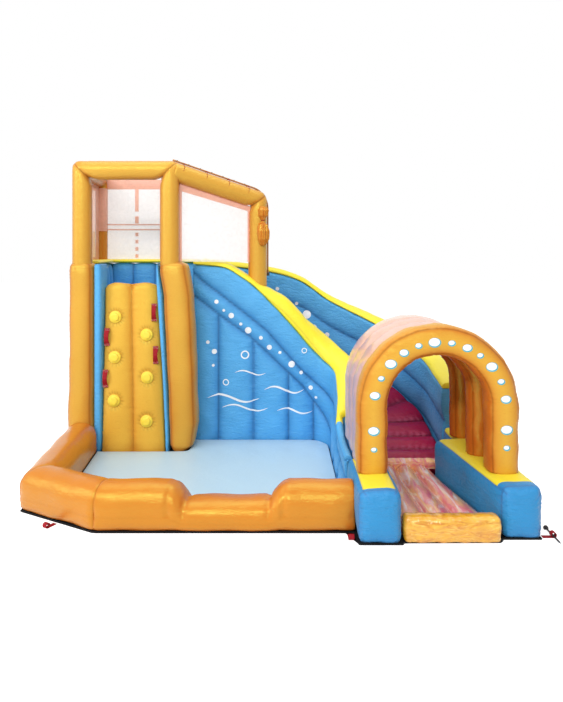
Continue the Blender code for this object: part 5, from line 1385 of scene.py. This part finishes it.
def make_slide():
    def inner_cap(s):
        return levelled(INNER_TOPS, s), levelled(INNER_CAPS, s), inner_lean(s), inner_thick(s)

    def outer_cap(s):
        return levelled(OUTER_TOPS, s), OUTER_CAP, 0.0, OUTER_THICK

    corners = [(INNER_START_X, INNER_FACE[1]), INNER_FACE, (INNER_FACE[0], INNER_END_Y)]
    inner = flat_route(corners, 0.0125, INNER_BEND, 24)
    depth = park_sizes().inner_seams
    skin = wall_skin(inner, INNER_TOPS, inner_thick, INNER_SEAMS, 250, 0.13, depth, inner_lean)
    skin.close_ends(0.002, 0.006)
    sewn("slide_wall_inner", "_pad", [skin], "cloth_blue", fill=0.95)

    reach = LANE_WIDTH / 2 + OUTER_CLEAR
    back, right = LANE_BACK_Y + reach, LANE_RIGHT_X + reach
    corners = [(DECK_EDGE_X, back), (right, back), (right, OUTER_END_Y)]
    outer = flat_route(corners, 0.015, LANE_BEND + reach, 60)
    seams = [[(s, levelled(OUTER_TOPS, s) - drop) for s in np.linspace(0, 3.6, 40)]
             for drop in (0.27, 0.52)]
    depth = park_sizes().outer_seams
    skin = wall_skin(outer, OUTER_TOPS, lambda s: OUTER_THICK, seams, 210, 0.12, depth)
    skin.close_ends(0.002, 0.016)
    sewn("slide_wall_outer", "_pad", [skin], "cloth_blue", fill=0.95)

    for name, route, shape in (("slide_cap_inner", inner, inner_cap), ("slide_cap_outer", outer, outer_cap)):
        def section(s):
            top, tall, near, far = shape(s)
            outline = plump(far - near + 0.014, tall + 0.002, 3.2, 72, foot=7)
            across = outline[:, 0]
            narrow = 0.03 * np.clip(outline[:, 1] / max(tall, 0.06), 0, 1)
            outline[:, 0] -= np.sign(across) * np.minimum(narrow, np.abs(across) * 0.5)
            return outline + ((near + far) / 2, top + CAP_LIFT - 0.003)

        skin = swept(route, section)
        if name == "slide_cap_inner":
            ahead = np.array([s for _, _, s in route_stations(route)])[:-1]
            skin.paint[ahead > INNER_YELLOW_END] = 1
        skin.quilt((0.2, 0.8), 0.03, 0.002, 0.0015, 0.5)
        skin.waves(0.0015, 0.2, 1)
        skin.close_ends(0.002, 0.003)
        sewn(name, "_pad", [skin], "cloth_yellow", "cloth_blue", fill=0.7)
    make_lane()


PLEAT = 0.25
LANE_STRIP = (
    (-0.006, 0.07), (-0.006, 0.1), (-0.004, 0.118), (0.006, 0.127), (0.02, 0.131), (0.03, 0.134),
    (0.04, 0.137), (0.05, 0.139),
)


def make_lane():
    """The glossy lane, sewn across into pleats, with an attaching strip at its end."""
    half = LANE_WIDTH / 2
    across = np.linspace(-1, 1, 41)

    def section(s):
        top = levelled(LANE_TOPS, s)
        swell = abs(sin(pi * s / PLEAT)) ** 0.55
        bank = 0.07 * sin(pi * min(max((s - 0.9) / 1.4, 0), 1))
        up = top + 0.042 * (swell - 1) * (1 - 0.5 * across**4) + bank * across
        up += 0.002 * (1.1 - swell) * np.sin(across * 31 + 5 * sin(s * 7))
        up -= 0.012 * np.maximum(0, np.abs(across) - 0.94) / 0.06
        sides = [(half, top - 0.05 + bank), (half, top - 0.1 + bank), (0, top - 0.1),
                 (-half, top - 0.1 - bank), (-half, top - 0.05 - bank)]
        return np.array([*zip(across * half, up), *sides, (-half, up[0])])

    corners = [(DECK_EDGE_X + 0.004, LANE_BACK_Y), (LANE_RIGHT_X, LANE_BACK_Y), (LANE_RIGHT_X, LANE_END_Y)]
    route = flat_route(corners, 0.0125, LANE_BEND, 60)
    skin = swept(route, section)
    line = np.array([[s] for _, _, s in route_stations(route)])
    # Dark pleat lines, with painted shade in the pleats' valleys.
    skin.mark(np.abs((line / PLEAT + 0.5) % 1 - 0.5) * PLEAT, 0.8, 0.006, 0.9, 0.03)
    sewn("slide_lane", "_pad", [skin], "cloth_crimson", fill=0.9)
    x = LANE_RIGHT_X + np.linspace(-0.5, 0.5, 61) * (LANE_WIDTH - 0.09)
    rows = [np.column_stack([x, np.full(61, LANE_END_Y + back), up + 0.0012 * np.sin(x * 90 + 40 * back)])
            for back, up in LANE_STRIP]
    seat(cloth_object("lane_strip", [Skin(rows, wraps=False)], ["film_mat"]))


# Run-out and tunnel

def shrink_at(d, soft):
    """How far a puffed end pulls in, d away from it."""
    return soft * (1 - sqrt(max(0.0, 1 - (max(0.0, soft - d) / soft) ** 2)))


def bolster_edges(name, s):
    """The bolster's left and right edge at a distance from its back end."""
    if name == "bolster_left":
        return 0.675 - 0.055 * eased((s - 0.735) / 0.055), 0.885
    step = eased((s - 0.305) / 0.055)
    along = min(max((s - 0.36) / 0.93, 0), 1)
    return 1.51 + (0.185 * along - 0.165) * step, 1.735 + (0.015 + 0.03 * along) * step


def make_bolsters():
    height = BOLSTER_HEIGHT - FLOOR
    back = BOLSTER_BACK_Y
    for name, front in (("bolster_left", LEFT_BOLSTER_FRONT_Y), ("bolster_right", RIGHT_BOLSTER_FRONT_Y)):
        length = back - front

        def section(s):
            inset = shrink_at(min(s, length - s), 0.022)
            left, right = bolster_edges(name, s)
            outline = plump(right - left - 2 * inset, height - 2 * inset * 0.6, 8, 96)
            return outline + ((right + left) / 2, FLOOR + inset * 0.6)

        skin = swept(flat_route([(0, back), (0, front)], 0.0125), section)
        middle = skin.grid[len(skin.grid) // 2]
        x, _, z = (middle[:-1] + middle[1:]).T
        topside = z > z.max() - 0.02
        rightside = (x > x.max() - 0.02) & ~topside
        away = skin.u[:-1].mean(axis=1, keepdims=True)
        flat = (away > 0.02) & (away < length - 0.03)
        skin.paint[topside & flat] = 1
        if name == "bolster_right":
            skin.paint[rightside & flat] = 2
        sides = topside + 2 * rightside
        skin.quilt([k / 96 for k in range(96) if sides[k] != sides[k - 1]], 0.05, 0.003, 0.003, 0.6)
        skin.quilt((2, -3), 0.07, 0.003, 0.004, 0.6)
        skin.waves(0.005, 0.3, front)
        skin.close_ends(0.006, 0.02, 12)
        # Painted shade: the bolsters take a darker copy of the blue cloth.
        sewn(name, "_pad", [skin], "cloth_bolster", "cloth_yellow", "cloth_orange", fill=0.95)


def arch_route(centre_x, y, radius, rise=36, turns=112):
    foot = BOLSTER_HEIGHT + 0.002
    legs = [foot + ARCH_LEG * k / rise for k in range(rise)]
    points = [(centre_x - radius, y, z) for z in legs]
    for angle in np.linspace(pi, 0, turns + 1):
        points.append((centre_x + radius * cos(angle), y, foot + ARCH_LEG + radius * sin(angle)))
    return points + [(centre_x + radius, y, z) for z in legs[::-1]]


def make_arch(name, centre_x, y, radius, tube, cloth_finish, power):
    outline = plump(2 * tube, 2 * tube, power, 64) - (0, tube)
    skin = banded(arch_route(centre_x, y, radius), (0, 1, 0), outline)
    skin.quilt((0.125, 0.375, 0.625, 0.875), 0.15, 0.005, 0.0045, 0.9)
    x, z = skin.grid[..., 0] - centre_x, skin.grid[..., 2] - BOLSTER_HEIGHT - ARCH_LEG
    # Painted shade: the arch's inner side takes the darker seam colour.
    inside = np.hypot(x, np.maximum(z, 0)) < radius - 0.8 * tube
    skin.rim = np.where(inside, 0.9, skin.rim)
    skin.waves(0.005, 0.26, radius)
    skin.close_ends(0.0, 0.0)
    sewn(name, "_tube", [skin], cloth_finish, fill=1.0)


def make_tunnel():
    # Painted light: the front arch takes the lightest, lit copy of the orange cloth.
    make_arch("tunnel_arch_front", ARCH_X, -1.31, ARCH_RADIUS, 0.104, "cloth_golden", 3.6)
    make_arch("tunnel_rib_middle", RIB_X, -0.98, RIB_RADIUS, RIB_TUBE, "cloth_orange", 2.2)
    make_arch("tunnel_rib_rear", RIB_X, -0.55, RIB_RADIUS, RIB_TUBE, "cloth_orange", 2.2)
    rows = []
    for t in np.linspace(0, 1, 75):
        reach = RIB_RADIUS + RIB_TUBE + 0.005 + 0.012 * abs(sin(3 * pi * t)) ** 0.7
        row = np.array(arch_route(RIB_X, COVER_FRONT_Y + COVER_LENGTH * t, reach, 22, 76))
        n = np.arange(len(row))
        wave = 0.0025 * np.sin(n * 0.9 + 9 * t + 2 * np.sin(n * 0.21)) * sin(pi * t) ** 0.5
        x, z = row[:, 0] - RIB_X, np.maximum(0, row[:, 2] - BOLSTER_HEIGHT - ARCH_LEG)
        rows.append(row + unit(np.column_stack([x, 0 * x, z])) * wave[:, None])
    skin = Skin(rows, wraps=False)
    for share in (0, 1 / 3, 2 / 3, 1):
        skin.mark(np.abs(skin.u - skin.u[-1:] * share), 0.45, 0.008)
    cover = sewn("tunnel_cover", "_film", [skin], "film_salmon")


def make_landing():
    back = LANE_END_Y - 0.004
    length = back - MAT_FRONT_Y
    k = np.arange(73)
    swell = np.abs(np.sin(pi * k / 24)) ** 0.6

    def section(s):
        left, right = 0.93 - 0.025 * s / length, 1.315 + 0.19 * s / length
        sag = 1 - 0.4 * shrink_at(length - s, 0.05) / 0.05 + 0.22 * (1 - eased(s / 0.3))
        ripple = 0.0016 * (1 - swell) * np.sin(70 * s + 3 * np.sin(9 * s + k))
        up = FLOOR + 0.084 * (0.55 + 0.45 * swell) * sag + ripple
        corner = (left + 0.004, FLOOR)
        under = [(right + (left - right) * n / 12, FLOOR) for n in range(1, 12)]
        return np.array([corner, (left, FLOOR + 0.02), *zip(left + (right - left) * k / 72, up),
                         (right, FLOOR + 0.02), (right - 0.004, FLOOR), *under, corner])

    skin = swept(flat_route([(0, back), (0, MAT_FRONT_Y)], 0.0125), section)
    x = skin.grid[..., 0]
    low = x.min(axis=1, keepdims=True)
    channel = (x.max(axis=1, keepdims=True) - low) / 3
    across = (x - low) / channel
    skin.mark(np.abs(across - np.round(across)) * channel, 0.7, 0.006)
    skin.close_ends(0.0, 0.003)
    sewn("landing_mat", "_pad", [skin], "film_mat", fill=0.85)

    depth, height, left, right = 0.121, 0.16, 0.905, 1.505

    def roll(s):
        inset = shrink_at(min(s, right - left - s), 0.03)
        outline = plump(depth - inset, height - inset, 3.4, 72, foot=9)
        return outline + (BUMPER_FRONT_Y + depth / 2, FLOOR + inset * 0.4)

    skin = swept(flat_route([(left, 0), (right, 0)], 0.0095), roll)
    skin.quilt((0.13, 0.64, 0.87), 0.05, 0.003, 0.0022, 0.3)
    skin.waves(0.003, 0.13, 1)
    skin.close_ends(0.004, 0.004)
    sewn("landing_bumper", "_roll", [skin], "film_gold", fill=0.9)


# Hose, sleeve and anchors

def make_hose():
    top, end = Vector((*POST_RIGHT, FRAME_TOP)), Vector((*WING_POST, WING_TOP))
    ahead = (end - top).normalized()
    outside = Vector((ahead.x, ahead.y, 0)).normalized()
    up = (Vector(UP) - ahead * ahead.z).normalized()
    side = outside.cross(Vector(UP))
    radius, low = 0.008, 1.62
    clear = FRAME_RADIUS + 2 * radius
    start = top + up * clear
    down = Vector((*WING_POST, low)) + outside * (FRAME_RADIUS + 0.022)
    elbow = start + ahead * (down - start).dot(outside) / ahead.dot(outside)
    route = rounded_route([start, elbow, down], 0.1 + clear, 24, 0.02)
    skin = banded(route, side, circle(radius, 14))
    skin.close_ends(0.0005, 0.0005, 2)
    sewn("spray_hose", "_line", [skin], "hose_plastic_grey")
    place = Vector((PARK_X, PARK_Y, 0))
    line = [start + ahead * reach + up * radius + place
            for reach in (0.04, (elbow - start).length - 0.25)]
    jets = beaded("spray_jets", [line], park_sizes().jet_spacing, 0.014, 0.011, 0.008, "plastic_dark")
    seat(jets)
    straps = []
    for share in (0.12, 0.37, 0.62, 0.85):
        spot = top + (end - top) * share + place
        straps.append([spot + up * cos(angle) * (FRAME_RADIUS + 0.0165)
                       + side * sin(angle) * (FRAME_RADIUS + 0.002)
                       for angle in np.linspace(-0.45 * pi, 0.45 * pi, 25)])
    seat(taped("hose_ties", straps, 0.0022, 0.012, "webbing_red"))


def make_sleeve():
    """The tied-off air sleeve: a gathered neck with a folded end below."""
    turn = radians(-60)
    away = np.array((cos(turn), sin(turn), 0))
    beside = np.array((-away[1], away[0], 0))
    radius, neck, cord = 0.048, 0.0135, 0.003
    tight = neck / radius
    widths = ((0, 0.55), (0.1, 0.85), (0.23, 0.75), (0.33, tight), (0.38, tight), (0.47, 0.75),
              (0.63, 0.95), (0.83, 0.85), (0.97, 0.5), (1, 0.17))
    tied = neck + 0.0005 + 2 * cord + 0.002
    angles = np.linspace(0, tau, 73)

    def centre(share, deep):
        return np.array((*WING_POST, 2.235 - share * 0.38)) + away * (FRAME_RADIUS + 0.002 + deep)

    rows, creases = [], []
    for share in np.linspace(0, 1, 111):
        size = between(widths, share)
        size = max(size, tight) if share < 0.9 else size
        wide = radius * size
        loose = min(1.0, max(0.0, (size - tight) / 0.4))
        flatten = 0.2 * loose
        fold = 0.0042 * np.cos(11 * angles + 2.4 * share) + 0.003 * np.cos(5 * angles - 6 * share)
        fold += 0.002 * np.cos(23 * angles + 9 * share)
        reach = wide * (1 - flatten * np.cos(2 * angles)) + fold * (0.25 + 0.75 * loose)
        middle = centre(share, max(wide * (1 - flatten), tied))
        rows.append(placed(middle, circle(1, 72) * reach[:, None], away, beside))
        creases.append(np.clip(-fold / 0.006, 0, 1))
    skin = Skin(rows)
    # Painted shade in the hollows of the folds.
    skin.rim = np.array(creases)
    skin.close_ends(0.0006, 0.0006, 3)
    sewn("deflation_sleeve", "_cloth", [skin], "cloth_orange", fill=0.3, body="tied_sleeve")
    middle = centre(0.355, tied) + (PARK_X, PARK_Y, 0)
    ring = circle(neck + 0.0005 + cord * 0.7, 36)[:-1]
    turns = [placed(middle + UP * lift, ring, away, beside) for lift in (-0.0028, 0.0, 0.0028)]
    tie = taped("sleeve_tie_cord", turns, 0.0027, 0.0027, "webbing_red", close=True)
    seat(tie, ["sleeve_tie"], body="tied_sleeve")


def make_anchors():
    slant = unit(np.subtract(POOL_PLAN[2], POOL_PLAN[1]))
    loop, outline = 0.0162, plump(0.037, 0.0032, 6, 24) - (0, 0.0016)
    for k, away in enumerate(((slant[1], -slant[0]), (0.0, -1.0), (1.0, 0.0))):
        name = f"anchor_strap_{k + 1}"
        low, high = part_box(name)
        away = np.array(away)
        side = np.array((-away[1], away[0], 0))
        middle = (low + high) / 2
        reach = abs((high.x - low.x) * away[0]) + abs((high.y - low.y) * away[1])
        length = reach - 0.038 * (abs(side[0] * away[0]) + abs(side[1] * away[1]))
        start = np.array((middle.x - PARK_X, middle.y - PARK_Y)) - away * length / 2
        out = length - loop - 0.0018
        line = [(out * t, 0.0022) for t in np.linspace(0, 1, 14)]
        for turned in np.radians(np.linspace(-90, 205, 40)):
            line.append((out + loop * cos(turned), 0.0022 + loop + loop * sin(turned)))
        skin = banded([(*(start + away * a), b) for a, b in line], side, outline)
        sewn(name, "_tab", [skin], "webbing_red")


# Blower

PLASTICS = {
    "blower_housing": "blower_shell", "blower_impeller": "plastic_dark",
    "blower_grille": "plastic_dark", "blower_motor": "plastic_dark", "blower_switch": "switch_red",
    "ground_stake": "plastic_dark", "hose_connector": "hose_plastic_grey",
    "hose_nut": "plastic_dark",
}


def make_blower():
    for name, title in PLASTICS.items():
        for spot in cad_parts[name].material_slots:
            spot.material = finish(title)
    low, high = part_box("air_inlet_sleeve")
    radius = 0.063
    towards = np.array((-sqrt(0.5), -sqrt(0.5), 0))
    middle = np.array((low + high) / 2) - (PARK_X, PARK_Y, 0)
    half = towards * ((high.x - low.x) * sqrt(0.5) - radius)
    points = [middle + half * t for t in np.linspace(-1, 1, 46)]
    skin = banded(points, np.array((towards[1], -towards[0], 0)), circle(radius, 56))
    skin.quilt((4, 8, -5), 0.05, 0.006, 0.003, 0.6)
    skin.waves(0.003, 0.12, 2)
    skin.close_ends(0.0005, 0.0005)
    seat(cloth_object("air_inlet_cloth", [skin], ["cloth_blue"]), ["air_inlet_sleeve"], 1.0)


# Air

AIR_FRAMES = 20
AIR_PRESSURE = 4
AIR_CAP = 0.007
AIR_POINTS = 26000


def make_air():
    """Swells the padded pieces between their seams by a cloth simulation, and keeps its shape."""
    scene = bpy.context.scene
    pieces = []
    for obj in (bpy.data.objects[name] for name in AIRED):
        count = len(obj.data.vertices)
        if count > AIR_POINTS:
            continue
        rest, sewn_down = np.empty(count * 3), np.zeros(count)
        obj.data.vertices.foreach_get("co", rest)
        obj.data.attributes["seam"].data.foreach_get("value", sewn_down)
        rest = rest.reshape(-1, 3)
        pinned = np.maximum(sewn_down, rest[:, 2] < FLOOR + 0.012)
        group = obj.vertex_groups.new(name="sewn")
        for share in (0.25, 0.5, 0.75, 1.0):
            held = np.abs(np.round(pinned * 4) / 4 - share) < 0.01
            group.add(np.nonzero(held)[0].tolist(), share, "REPLACE")
        modifier = obj.modifiers.new("air", "CLOTH")
        settings = modifier.settings
        settings.quality = 4
        settings.use_pressure = True
        settings.uniform_pressure_force = AIR_PRESSURE
        settings.effector_weights.gravity = 0
        settings.vertex_group_mass = group.name
        modifier.collision_settings.use_collision = False
        modifier.point_cache.frame_end = AIR_FRAMES
        pieces.append((obj, rest))
    for moment in range(1, AIR_FRAMES + 1):
        scene.frame_set(moment)
    graph = bpy.context.evaluated_depsgraph_get()
    for obj, rest in pieces:
        swollen = np.empty(rest.size)
        obj.evaluated_get(graph).data.vertices.foreach_get("co", swollen)
        shift = swollen.reshape(-1, 3) - rest
        settled = rest + shift * AIR_CAP / (AIR_CAP + norm(shift, axis=1, keepdims=True))
        settled[:, 2] = np.maximum(settled[:, 2], np.minimum(rest[:, 2], FLOOR))
        obj.data.vertices.foreach_set("co", settled.ravel())
        obj.modifiers.clear()
        obj.vertex_groups.clear()
        obj.data.update()
    scene.frame_set(1)


# Prints

class Prints:
    """Flat shapes in front of the park, which are laid on its pieces as ink."""

    def __init__(self):
        self.points, self.faces = [], []

    def band(self, rows, closed):
        first, wide = len(self.points), len(rows[0])
        for row in rows:
            self.points += [(x + PARK_X, -6.0, z) for x, z in row]
        for j in range(len(rows) - 1):
            low, high = first + j * wide, first + (j + 1) * wide
            for i in range(wide if closed else wide - 1):
                after = (i + 1) % wide
                self.faces.append((low + i, low + after, high + after, high + i))

    def bubble(self, x, z, radius, inner=0.0, squeeze=1.0):
        first = len(self.points)
        ring = circle(radius, 24)[:-1] * (1, squeeze)
        self.band([ring * share + (x, z) for share in np.linspace(max(inner, 0.04), 1, 6)], True)
        if not inner:
            self.faces.append(tuple(range(first + 23, first - 1, -1)))

    def swirl(self, x, z, length, lift, width):
        """A wavy line, thick in its middle and pointed at both ends."""
        rows = []
        for side in np.linspace(-0.5, 0.5, 5):
            rows.append([(x + length * t, z + lift * sin(tau * t) + width * side * sin(pi * t) ** 0.7)
                         for t in np.linspace(0, 1, 46)])
        self.band(rows, False)

    def lay(self, name, target, ink_finish, lift):
        mesh = bpy.data.meshes.new(name)
        mesh.from_pydata(self.points, [], self.faces)
        source = bpy.data.objects.new(name + "_flat", mesh)
        seat(grown(name, source, print_tree, Lift=lift, Target=bpy.data.objects[target],
                   Material=finish(ink_finish)))


WALL_BUBBLES = (
    (-0.47, 1.33, 0.02), (-0.40, 1.25, 0.013), (-0.33, 1.2, 0.026), (-0.24, 1.12, 0.015),
    (-0.17, 1.06, 0.031), (-0.05, 0.99, 0.018), (0.03, 0.9, 0.024), (0.13, 0.85, 0.014),
    (0.24, 0.74, 0.03), (0.33, 0.66, 0.017), (-0.55, 0.95, 0.017), (-0.49, 0.86, 0.024),
    (-0.5, 0.73, 0.013), (0.42, 0.52, 0.02), (0.47, 0.43, 0.013), (-0.2, 0.83, 0.04, 0.7),
    (0.36, 0.87, 0.026, 0.7), (-0.38, 0.57, 0.03, 0.7),
)
WALL_SWIRLS = (
    (-0.56, 0.42, 0.5, 0.035, 0.022), (-0.42, 0.33, 0.44, 0.03, 0.017), (-0.02, 0.5, 0.38, 0.03, 0.02),
    (0.1, 0.3, 0.34, 0.024, 0.018), (-0.3, 0.66, 0.3, 0.022, 0.014),
)
BACK_BUBBLES = (
    (0.42, 1.12, 0.045), (0.5, 0.98, 0.03), (0.31, 1.24, 0.018), (0.64, 0.9, 0.026), (0.1, 1.4, 0.02),
)
ARCH_BUBBLES = ((8, 0.03), (24, 0.02), (39, 0.034), (53, 0.018), (66, 0.028), (80, 0.02), (95, 0.036),
                (109, 0.019), (123, 0.027), (138, 0.035), (153, 0.018), (169, 0.03))
LEG_BUBBLES = ((-1, 0.62, 0.033), (-1, 0.5, 0.016), (1, 0.63, 0.035), (1, 0.51, 0.018))


def make_prints():
    """Plain bubbles and wavy lines where the park is printed."""
    lift = park_sizes().print_lift
    wall, back, white, edge = Prints(), Prints(), Prints(), Prints()
    for bubble in WALL_BUBBLES:
        wall.bubble(*bubble)
    for swirl in WALL_SWIRLS:
        wall.swirl(*swirl)
    wall.lay("inner_wall_prints", "slide_wall_inner_pad", "ink_white", lift)
    for bubble in BACK_BUBBLES:
        back.bubble(*bubble)
    back.lay("outer_wall_prints", "slide_wall_outer_pad", "ink_white", lift)
    middle = BOLSTER_HEIGHT + ARCH_LEG
    spots = [(cos(radians(turn)), middle + ARCH_RADIUS * sin(radians(turn)), radius)
             for turn, radius in ARCH_BUBBLES]
    for across, z, radius in [*spots, *LEG_BUBBLES]:
        x = ARCH_X + ARCH_RADIUS * across
        white.bubble(x, z, radius, squeeze=0.75)
        edge.bubble(x + 0.003, z - 0.004, radius + 0.006, squeeze=0.78)
    edge.lay("arch_print_edges", "tunnel_arch_front_tube", "ink_teal", lift)
    white.lay("arch_prints", "tunnel_arch_front_tube", "ink_white", 2 * lift)


# Stage

def seen_rays(tree):
    """One for the rays that see the background, straight or by gloss or glass."""
    path = add(tree, "ShaderNodeLightPath")
    glossy = maths(tree, "MAXIMUM", path.outputs["Is Camera Ray"], path.outputs["Is Glossy Ray"])
    return maths(tree, "MAXIMUM", glossy, path.outputs["Is Transmission Ray"])


def make_stage():
    scene = bpy.context.scene
    scene.view_settings.view_transform = "Standard"
    eye = bpy.data.cameras.new("Camera")
    eye.lens, eye.sensor_width = 31.0, 36
    eye.shift_y = -0.141
    camera = shown("Camera", eye)
    camera.location = (PARK_X + 0.145, PARK_Y - 5.4, 1.8)
    camera.rotation_euler = (pi / 2, 0, 0)
    scene.camera = camera

    def lamp(name, at, width, depth, power):
        light = bpy.data.lights.new(name, "AREA")
        light.shape, light.size, light.size_y, light.energy = "RECTANGLE", width, depth, power
        obj = shown(name, light)
        obj.location = at
        obj.rotation_euler = (Vector((0, 0, 0.8)) - Vector(at)).to_track_quat("-Z", "Y").to_euler()

    lamp("Key light", (-2.2, -9.0, 6.3), 9.0, 0.8, 680)
    lamp("Side light", (-7.5, -3.5, 4.0), 3.0, 3.0, 150)
    lamp("Overhead light", (0, -0.2, 7.0), 6.0, 4.0, 190)

    world = bpy.data.worlds.new("Studio")
    scene.world = world
    world.use_nodes = True
    tree = world.node_tree
    tree.nodes.clear()
    grey = add(tree, "ShaderNodeBackground", {"Color": (1, 1, 1, 1), "Strength": 0.5})
    white = add(tree, "ShaderNodeBackground", {"Color": (1, 1, 1, 1), "Strength": 1.0})
    both = add(tree, "ShaderNodeMixShader", {0: seen_rays(tree), 1: grey, 2: white})
    add(tree, "ShaderNodeOutputWorld", {0: both})

    floor = bpy.data.materials.new("studio_floor")
    floor.use_nodes = True
    tree = floor.node_tree
    put(tree, tree.nodes["Principled BSDF"], {
        "Base Color": (0.86, 0.86, 0.86, 1), "Roughness": 0.9, "Emission Color": (1, 1, 1, 1),
        "Emission Strength": maths(tree, "MULTIPLY", seen_rays(tree), 0.6)})
    mesh = bpy.data.meshes.new("studio_floor")
    far = 30
    mesh.from_pydata([(-far, -far, 0), (far, -far, 0), (far, far, 0), (-far, far, 0)], [], [(0, 1, 2, 3)])
    mesh.materials.append(floor)
    shown("studio_floor", mesh)


# Operators

class PARK_OT_stage(bpy.types.Operator):
    """Adds the camera, the lamps and the floor"""
    bl_idname = "park.stage"
    bl_label = "Stage"

    def execute(self, context):
        make_stage()
        return {"FINISHED"}


class PARK_OT_pool(bpy.types.Operator):
    """Adds the pool walls, the pool floor and the base sheet"""
    bl_idname = "park.pool"
    bl_label = "Pool"

    def execute(self, context):
        make_pool()
        return {"FINISHED"}


class PARK_OT_tower(bpy.types.Operator):
    """Adds the tower's columns, linings, deck, walls and their yellow top"""
    bl_idname = "park.tower"
    bl_label = "Tower"

    def execute(self, context):
        make_tower()
        return {"FINISHED"}


class PARK_OT_climbing_wall(bpy.types.Operator):
    """Adds the climbing wall with its holds and handles"""
    bl_idname = "park.climbing_wall"
    bl_label = "Climbing wall"

    def execute(self, context):
        make_climbing_wall()
        return {"FINISHED"}


class PARK_OT_frame_tubes(bpy.types.Operator):
    """Adds the frame tubes over the tower"""
    bl_idname = "park.frame_tubes"
    bl_label = "Frame tubes"

    def execute(self, context):
        make_frame()
        return {"FINISHED"}


class PARK_OT_nets(bpy.types.Operator):
    """Adds the safety nets with their borders and straps"""
    bl_idname = "park.nets"
    bl_label = "Nets"

    def execute(self, context):
        make_nets()
        return {"FINISHED"}


class PARK_OT_slide(bpy.types.Operator):
    """Adds the slide's walls, their yellow tops and the lane"""
    bl_idname = "park.slide"
    bl_label = "Slide"

    def execute(self, context):
        make_slide()
        return {"FINISHED"}


class PARK_OT_bolsters(bpy.types.Operator):
    """Adds the two bolsters beside the run-out"""
    bl_idname = "park.bolsters"
    bl_label = "Bolsters"

    def execute(self, context):
        make_bolsters()
        return {"FINISHED"}


class PARK_OT_tunnel(bpy.types.Operator):
    """Adds the tunnel's arches and its see-through cover"""
    bl_idname = "park.tunnel"
    bl_label = "Tunnel"

    def execute(self, context):
        make_tunnel()
        return {"FINISHED"}


class PARK_OT_landing(bpy.types.Operator):
    """Adds the landing mat and the bumper before it"""
    bl_idname = "park.landing"
    bl_label = "Landing"

    def execute(self, context):
        make_landing()
        return {"FINISHED"}


class PARK_OT_hose(bpy.types.Operator):
    """Adds the spray hose with its jets and ties"""
    bl_idname = "park.hose"
    bl_label = "Spray hose"

    def execute(self, context):
        make_hose()
        return {"FINISHED"}


class PARK_OT_sleeve(bpy.types.Operator):
    """Adds the tied-off air sleeve"""
    bl_idname = "park.sleeve"
    bl_label = "Tied sleeve"

    def execute(self, context):
        make_sleeve()
        return {"FINISHED"}


class PARK_OT_anchors(bpy.types.Operator):
    """Adds the webbing tabs at the base"""
    bl_idname = "park.anchors"
    bl_label = "Anchor tabs"

    def execute(self, context):
        make_anchors()
        return {"FINISHED"}


class PARK_OT_air(bpy.types.Operator):
    """Swells the padded pieces between their seams by air pressure"""
    bl_idname = "park.air"
    bl_label = "Air"

    def execute(self, context):
        make_air()
        return {"FINISHED"}


class PARK_OT_prints(bpy.types.Operator):
    """Prints plain bubbles and wavy lines on the slide's walls and the front arch"""
    bl_idname = "park.prints"
    bl_label = "Prints"

    def execute(self, context):
        make_prints()
        return {"FINISHED"}


class PARK_OT_blower(bpy.types.Operator):
    """Gives the blower and the small fittings their plastics and adds the inlet sleeve"""
    bl_idname = "park.blower"
    bl_label = "Blower"

    def execute(self, context):
        make_blower()
        return {"FINISHED"}


STEPS = (
    PARK_OT_stage, PARK_OT_pool, PARK_OT_tower, PARK_OT_climbing_wall, PARK_OT_frame_tubes,
    PARK_OT_nets, PARK_OT_slide, PARK_OT_bolsters, PARK_OT_tunnel, PARK_OT_landing, PARK_OT_hose,
    PARK_OT_sleeve, PARK_OT_anchors, PARK_OT_blower, PARK_OT_air, PARK_OT_prints,
)


class PARK_PT_panel(bpy.types.Panel):
    """Lists the park's sizes, colours and steps"""
    bl_idname = "PARK_PT_panel"
    bl_label = "Inflatable Water Park"
    bl_space_type = "VIEW_3D"
    bl_region_type = "UI"
    bl_category = "Water Park"

    def draw(self, context):
        scene = context.scene
        for group in (scene.park_sizes, scene.park_colours):
            for name in group.__annotations__:
                self.layout.prop(group, name)
        for step in STEPS:
            self.layout.operator(step.bl_idname)


CLASSES = (ParkSizes, ParkColours, *STEPS, PARK_PT_panel)


def register():
    for made in CLASSES:
        bpy.utils.register_class(made)
    bpy.types.Scene.park_sizes = bpy.props.PointerProperty(type=ParkSizes)
    bpy.types.Scene.park_colours = bpy.props.PointerProperty(type=ParkColours)


def unregister():
    del bpy.types.Scene.park_colours
    del bpy.types.Scene.park_sizes
    for made in reversed(CLASSES):
        bpy.utils.unregister_class(made)


def main():
    register()
    for step in STEPS:
        group, name = step.bl_idname.split(".")
        getattr(getattr(bpy.ops, group), name)()


if __name__ == "__main__":
    main()
